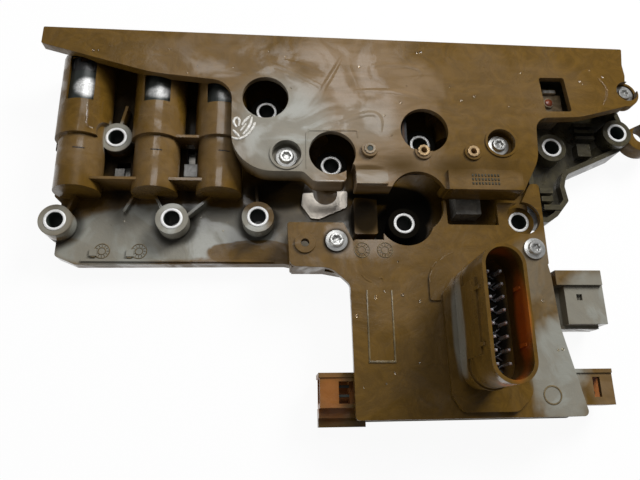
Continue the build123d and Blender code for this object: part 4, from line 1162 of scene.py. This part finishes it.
class MODULE_OT_inserts(bpy.types.Operator):
    """Knurl the brass inserts, and add the plastic crown beside them and the first sleeve's wall"""

    bl_idname = "module.inserts"
    bl_label = "Brass inserts"

    def execute(self, context):
        low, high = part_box("brass_inserts")
        places = [place for place, _ in islands("brass_inserts", INSERT_REACH)]
        inserts = copies(self.insert(INSERT_OUTER, INSERT_INNER, low.z, high.z), places)
        finish_piece(inserts, "knurled_inserts", "brass", "brass", "brass_inserts")
        self.lining()
        top = surface_height(*CROWN_PLACE) * MM
        crown = self.insert(CROWN_OUTER, CROWN_INNER, top + CROWN_LOW, top + CROWN_HIGH)
        crown.data.transform(Matrix.Translation(mm(*CROWN_PLACE, 0)))
        finish_piece(crown, "plastic_crown", "tan_plastic", "brown_plastic")
        self.blind_hole(top)
        return {"FINISHED"}

    def lining(self):
        """Wall of the first sleeve where the bolt boss is let into it."""
        clear()
        bpy.ops.mesh.primitive_plane_add(size=1.0, location=(0, 0, 0))
        wall = bpy.context.object
        wall.scale = (LINING_THICK, LINING_LENGTH, 1)
        wall.location = (LINING_X + LINING_RADIUS, LINING_Y, LINING_Z)
        settle(wall)
        edit(wall)
        bpy.ops.mesh.select_all(action="SELECT")
        bpy.ops.mesh.spin(steps=14, angle=LINING_ANGLE, center=(LINING_X, 0, LINING_Z), axis=(0, 1, 0))
        heal(merge=0.002)
        finish_piece(wall, "sleeve_lining", "soft_brown", "brown_plastic")

    def blind_hole(self, top):
        """Dark cup in the plastic crown, its floor sunk below the rim, painted near-black as shade."""
        cup = cylinder(CUP_RADIUS, top + CUP_LOW, top + CUP_HIGH, sides=32)
        pick(cup, looks_up)
        bpy.ops.mesh.inset(thickness=CUP_RIM)
        bpy.ops.transform.translate(value=(0, 0, -CUP_DEPTH))
        clear()
        cup.data.transform(Matrix.Translation(mm(*CROWN_PLACE, 0)))
        finish_piece(cup, "crown_hole", "oily_bore", "brown_plastic")

    def insert(self, outer, inner, low, high):
        """One insert with a scalloped crown."""
        insert = cylinder(outer, low, high, sides=80)
        bore(insert, INSERT_RIM, outer - inner - INSERT_RIM)
        wave(
            insert, lambda spot: math.hypot(spot.x, spot.y) > outer - 0.1 * MM,
            lambda angle: 1.0 - 0.07 * (0.5 + 0.5 * math.cos(10 * angle)),
        )
        heal()
        round_edges(insert, 0.18, 50)
        smooth(insert)
        return insert


class MODULE_OT_springs(bpy.types.Operator):
    """Wind the return springs of the solenoid valves"""

    bl_idname = "module.springs"
    bl_label = "Return springs"

    def execute(self, context):
        sizes = context.scene.module_sizes
        for joint in frame["joints"]:
            number = joint["child"].split("_")[-1]
            node = f"solenoid_{number}_spring"
            low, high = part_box(node)
            spring = self.coil(low, high, sizes.wire, sizes.spring_turns)
            finish_piece(spring, f"coil_spring_{number}", "bright_steel", "bright_steel", node)
            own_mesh(spring)
        return {"FINISHED"}

    def coil(self, low, high, wire, turns):
        """One coil along Y that fills the box of its node."""
        clear()
        radius = (high.x - low.x - wire) / 2
        bpy.ops.mesh.primitive_circle_add(
            vertices=8, radius=wire / 2, location=(radius, 0, 0), rotation=(math.pi / 2, 0, 0),
        )
        coil = bpy.context.object
        settle(coil)
        winding = coil.modifiers.new("winding", "SCREW")
        winding.angle = 2 * math.pi * turns
        winding.screw_offset = high.y - low.y - wire
        winding.steps = winding.render_steps = 20 * turns
        apply_modifiers(coil)
        edit(coil)
        heal(merge=0.001, fill=True)
        turn = Matrix.Rotation(-math.pi / 2, 4, "X")
        place = Vector(((low.x + high.x) / 2, low.y + wire / 2, (low.z + high.z) / 2))
        coil.data.transform(Matrix.Translation(place) @ turn)
        smooth(coil)
        return coil


class MODULE_OT_marks(bpy.types.Operator):
    """Raise the moulding marks: date clocks, panel lines, corner ring and plain ticks"""

    bl_idname = "module.marks"
    bl_label = "Moulding marks"

    def execute(self, context):
        height = context.scene.module_sizes.emboss
        case_top, plate_top = mm(CASE_TOP, PLATE_TOP)
        parts = [self.clock(place, case_top, height) for place in CASE_CLOCKS]
        parts += [self.clock(place, plate_top, height) for place in PLATE_CLOCKS]
        parts.append(ring(CORNER_RING, RING_RADIUS, RING_WIDTH, case_top, height))
        for x in (PANEL_LEFT, PANEL_RIGHT - LINE_WIDTH):
            parts.append(bar(x, x + LINE_WIDTH, PANEL_FRONT, PANEL_REAR, case_top, height))
        sill = (PANEL_FRONT, PANEL_FRONT + SILL_WIDTH)
        parts.append(bar(PANEL_LEFT, PANEL_RIGHT, *sill, case_top, height * 1.6))
        half = SQUARE_HALF
        for x, y in PLATE_SQUARES:
            parts.append(bar(x - half, x + half, y - half, y + half, plate_top + SQUARE_LIFT * MM, height))
        smooth_piece(parts, "moulding_marks", "dull_edges", "brown_plastic", degrees=35.0)
        return {"FINISHED"}

    def clock(self, place, level, height):
        """A date clock: two rings and twelve ticks."""
        parts = [ring(place, radius, width, level, height) for radius, width in CLOCK_RINGS]
        x, y = place
        for hour in range(12):
            tick = bar(x + HOUR_INNER, x + HOUR_OUTER, y - HOUR_HALF, y + HOUR_HALF, level, height * 0.8)
            parts.append(turned(tick, x, y, math.radians(30 * hour)))
        return join(parts)


class MODULE_OT_label(bpy.types.Operator):
    """Emboss rows of plain ticks on the label bar of the cover"""

    bl_idname = "module.label"
    bl_label = "Label bar"

    def execute(self, context):
        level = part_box("top_cover")[1].z
        height = context.scene.module_sizes.emboss
        ticks = []
        for row in LABEL_ROWS:
            x = LABEL_LEFT
            while x < LABEL_RIGHT:
                ticks.append(bar(x, x + TICK_WIDTH, row - TICK_HALF, row + TICK_HALF, level, height))
                x += TICK_STEP
        smooth_piece(ticks, "label_ticks", "dark_plastic", "dark_plastic", degrees=35.0)
        return {"FINISHED"}


class MODULE_OT_connector(bpy.types.Operator):
    """Add the bed's zigzag webs between the pins and the latch noses of the shroud"""

    bl_idname = "module.connector"
    bl_label = "Connector bed and latches"

    def execute(self, context):
        low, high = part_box("connector_pins")
        middle = (low.x + high.x) / 2 / MM
        left, right = middle - WEB_HALF, middle + WEB_HALF
        step = (high.y - low.y) / MM / PIN_ROWS
        webs = []
        for row in range(PIN_ROWS + 1):
            y = low.y / MM + row * step
            for side in (-1, 1):
                web = bar(left, right, y - WEB_THIN, y + WEB_THIN, BED_TOP * MM, WEB_HEIGHT * MM)
                webs.append(turned(web, middle + WEB_SHIFT * side, y, math.radians(WEB_LEAN * side)))
        finish_piece(join(webs), "bed_webs", "wet_slate", "black_plastic")
        latches = join([self.latch(*place) for place in LATCHES])
        finish_piece(latches, "latch_noses", "brown_plastic", "brown_plastic")
        return {"FINISHED"}

    def latch(self, x, y, z, reach):
        """One wedge on the shroud's wall, thicker at its foot, with broken edges."""
        clear()
        bpy.ops.mesh.primitive_cube_add(size=1, location=mm(x, y, z))
        latch = bpy.context.object
        latch.scale = mm(2 * reach, LATCH_LENGTH, LATCH_HEIGHT)
        settle(latch)
        edit(latch)
        pick(latch, looks_up)
        bpy.ops.transform.resize(value=(0.55, 0.8, 1.0))
        bpy.ops.mesh.bevel(offset=0.25 * MM, segments=2)
        clear()
        return latch


class MODULE_OT_ridges(bpy.types.Operator):
    """Draw the thin ridges of the cover and the frame round its centre hole"""

    bl_idname = "module.ridges"
    bl_label = "Cover ridges"

    def execute(self, context):
        parts = [trail(line, radius=1.5, flat=0.16, fade=3.0) for line in COVER_RIDGES]
        parts.append(trail(HOLE_FRAME, radius=0.5, flat=0.5, order=2))
        parts += [trail(line, radius=0.7, flat=0.4, fade=2.0) for line in CASE_RIDGES]
        smooth_piece(parts, "cover_ridges", "soft_brown", "brown_plastic")
        # Pale line along the front rim, a painted highlight
        rim = trail(RIM_GLINT_LINE, radius=0.5, flat=0.5, order=2)
        smooth_piece([rim], "rim_highlight_line", "rim_highlight", "brown_plastic")
        return {"FINISHED"}


class MODULE_OT_oil(bpy.types.Operator):
    """Leave runs and drops of old oil on the mouldings"""

    bl_idname = "module.oil"
    bl_label = "Oil runs and drops"

    def execute(self, context):
        # The curls are painted pale as highlights on the wet oil
        curls = [trail(line, radius=0.6, flat=0.6) for line in OIL_CURLS]
        smooth_piece(curls, "oil_curls", "curl_highlight", "brown_plastic")
        parts = [trail(line, radius=0.6, flat=0.4) for line in OIL_LINES]
        chance = random.Random(11)
        for left, right, front, rear, count in DROP_FIELDS:
            for _ in range(count):
                place = (chance.uniform(left, right), chance.uniform(front, rear))
                parts.append(drop(place, chance.uniform(0.3, 0.8), chance.uniform(0.75, 1.3)))
        smooth_piece(parts, "oil_drops", "clear_oil", "brown_plastic")
        return {"FINISHED"}


class MODULE_OT_fittings(bpy.types.Operator):
    """Add the ticks of the valve noses, the grey pads and the parts seen in the cover's window"""

    bl_idname = "module.fittings"
    bl_label = "Ticks, pads and sensor parts"

    def execute(self, context):
        ticks = []
        for x, y in NOSE_TICKS:
            points = ((x - NOSE_HALF, y), (x, y - NOSE_SAG), (x + NOSE_HALF, y))
            ticks.append(trail(points, radius=0.38, flat=0.5))
        smooth_piece(ticks, "nose_ticks", "black_plastic", "black_plastic")
        pads = []
        for left, right, front, rear, top in PADS:
            pads.append(bar(left, right, front, rear, PLATE_TOP * MM, (top - PLATE_TOP) * MM))
        finish_piece(join(pads), "grey_pads", "grey_plastic", "grey_plastic")
        self.sensor()
        return {"FINISHED"}

    def sensor(self):
        """White bar and red-brown bead on the sensor in the window."""
        low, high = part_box("temperature_sensor")
        left = low.x / MM
        strip = bar(left + BAR_LEFT, left + BAR_RIGHT, BAR_FRONT, BAR_REAR, high.z, BAR_HEIGHT * MM)
        finish_piece(strip, "sensor_bar", "white_plastic", "grey_plastic")
        bead = drop((left + BEAD_RIGHT, BEAD_REAR), BEAD_RADIUS, 1.0)
        smooth_piece([bead], "sensor_bead", "red_resin", "grey_plastic")


OPERATORS = (
    MODULE_OT_stage, MODULE_OT_nodes, MODULE_OT_limiters, MODULE_OT_screws, MODULE_OT_inserts,
    MODULE_OT_springs, MODULE_OT_marks, MODULE_OT_label, MODULE_OT_connector, MODULE_OT_ridges,
    MODULE_OT_oil, MODULE_OT_fittings,
)


class MODULE_PT_panel(bpy.types.Panel):
    """Lists the settings and the steps"""

    bl_idname = "MODULE_PT_panel"
    bl_label = "Control module"
    bl_space_type = "VIEW_3D"
    bl_region_type = "UI"
    bl_category = "Module"

    def draw(self, context):
        for settings in (context.scene.module_finish, context.scene.module_sizes, context.scene.module_stage):
            for name in settings.__annotations__:
                self.layout.prop(settings, name)
        for operator in OPERATORS:
            self.layout.operator(operator.bl_idname)


SETTINGS = {"module_finish": FinishSettings, "module_sizes": SizeSettings, "module_stage": StageSettings}


def register():
    """Register the classes and hang the settings on the scene."""
    for cls in (*SETTINGS.values(), *OPERATORS, MODULE_PT_panel):
        bpy.utils.register_class(cls)
    for name, cls in SETTINGS.items():
        setattr(bpy.types.Scene, name, bpy.props.PointerProperty(type=cls))


def unregister():
    """Take everything off again."""
    for name in SETTINGS:
        delattr(bpy.types.Scene, name)
    for cls in reversed((*SETTINGS.values(), *OPERATORS, MODULE_PT_panel)):
        bpy.utils.unregister_class(cls)


def main():
    """Build the scene step by step."""
    register()
    for operator in OPERATORS:
        group, name = operator.bl_idname.split(".")
        getattr(getattr(bpy.ops, group), name)()


if __name__ == "__main__":
    main()
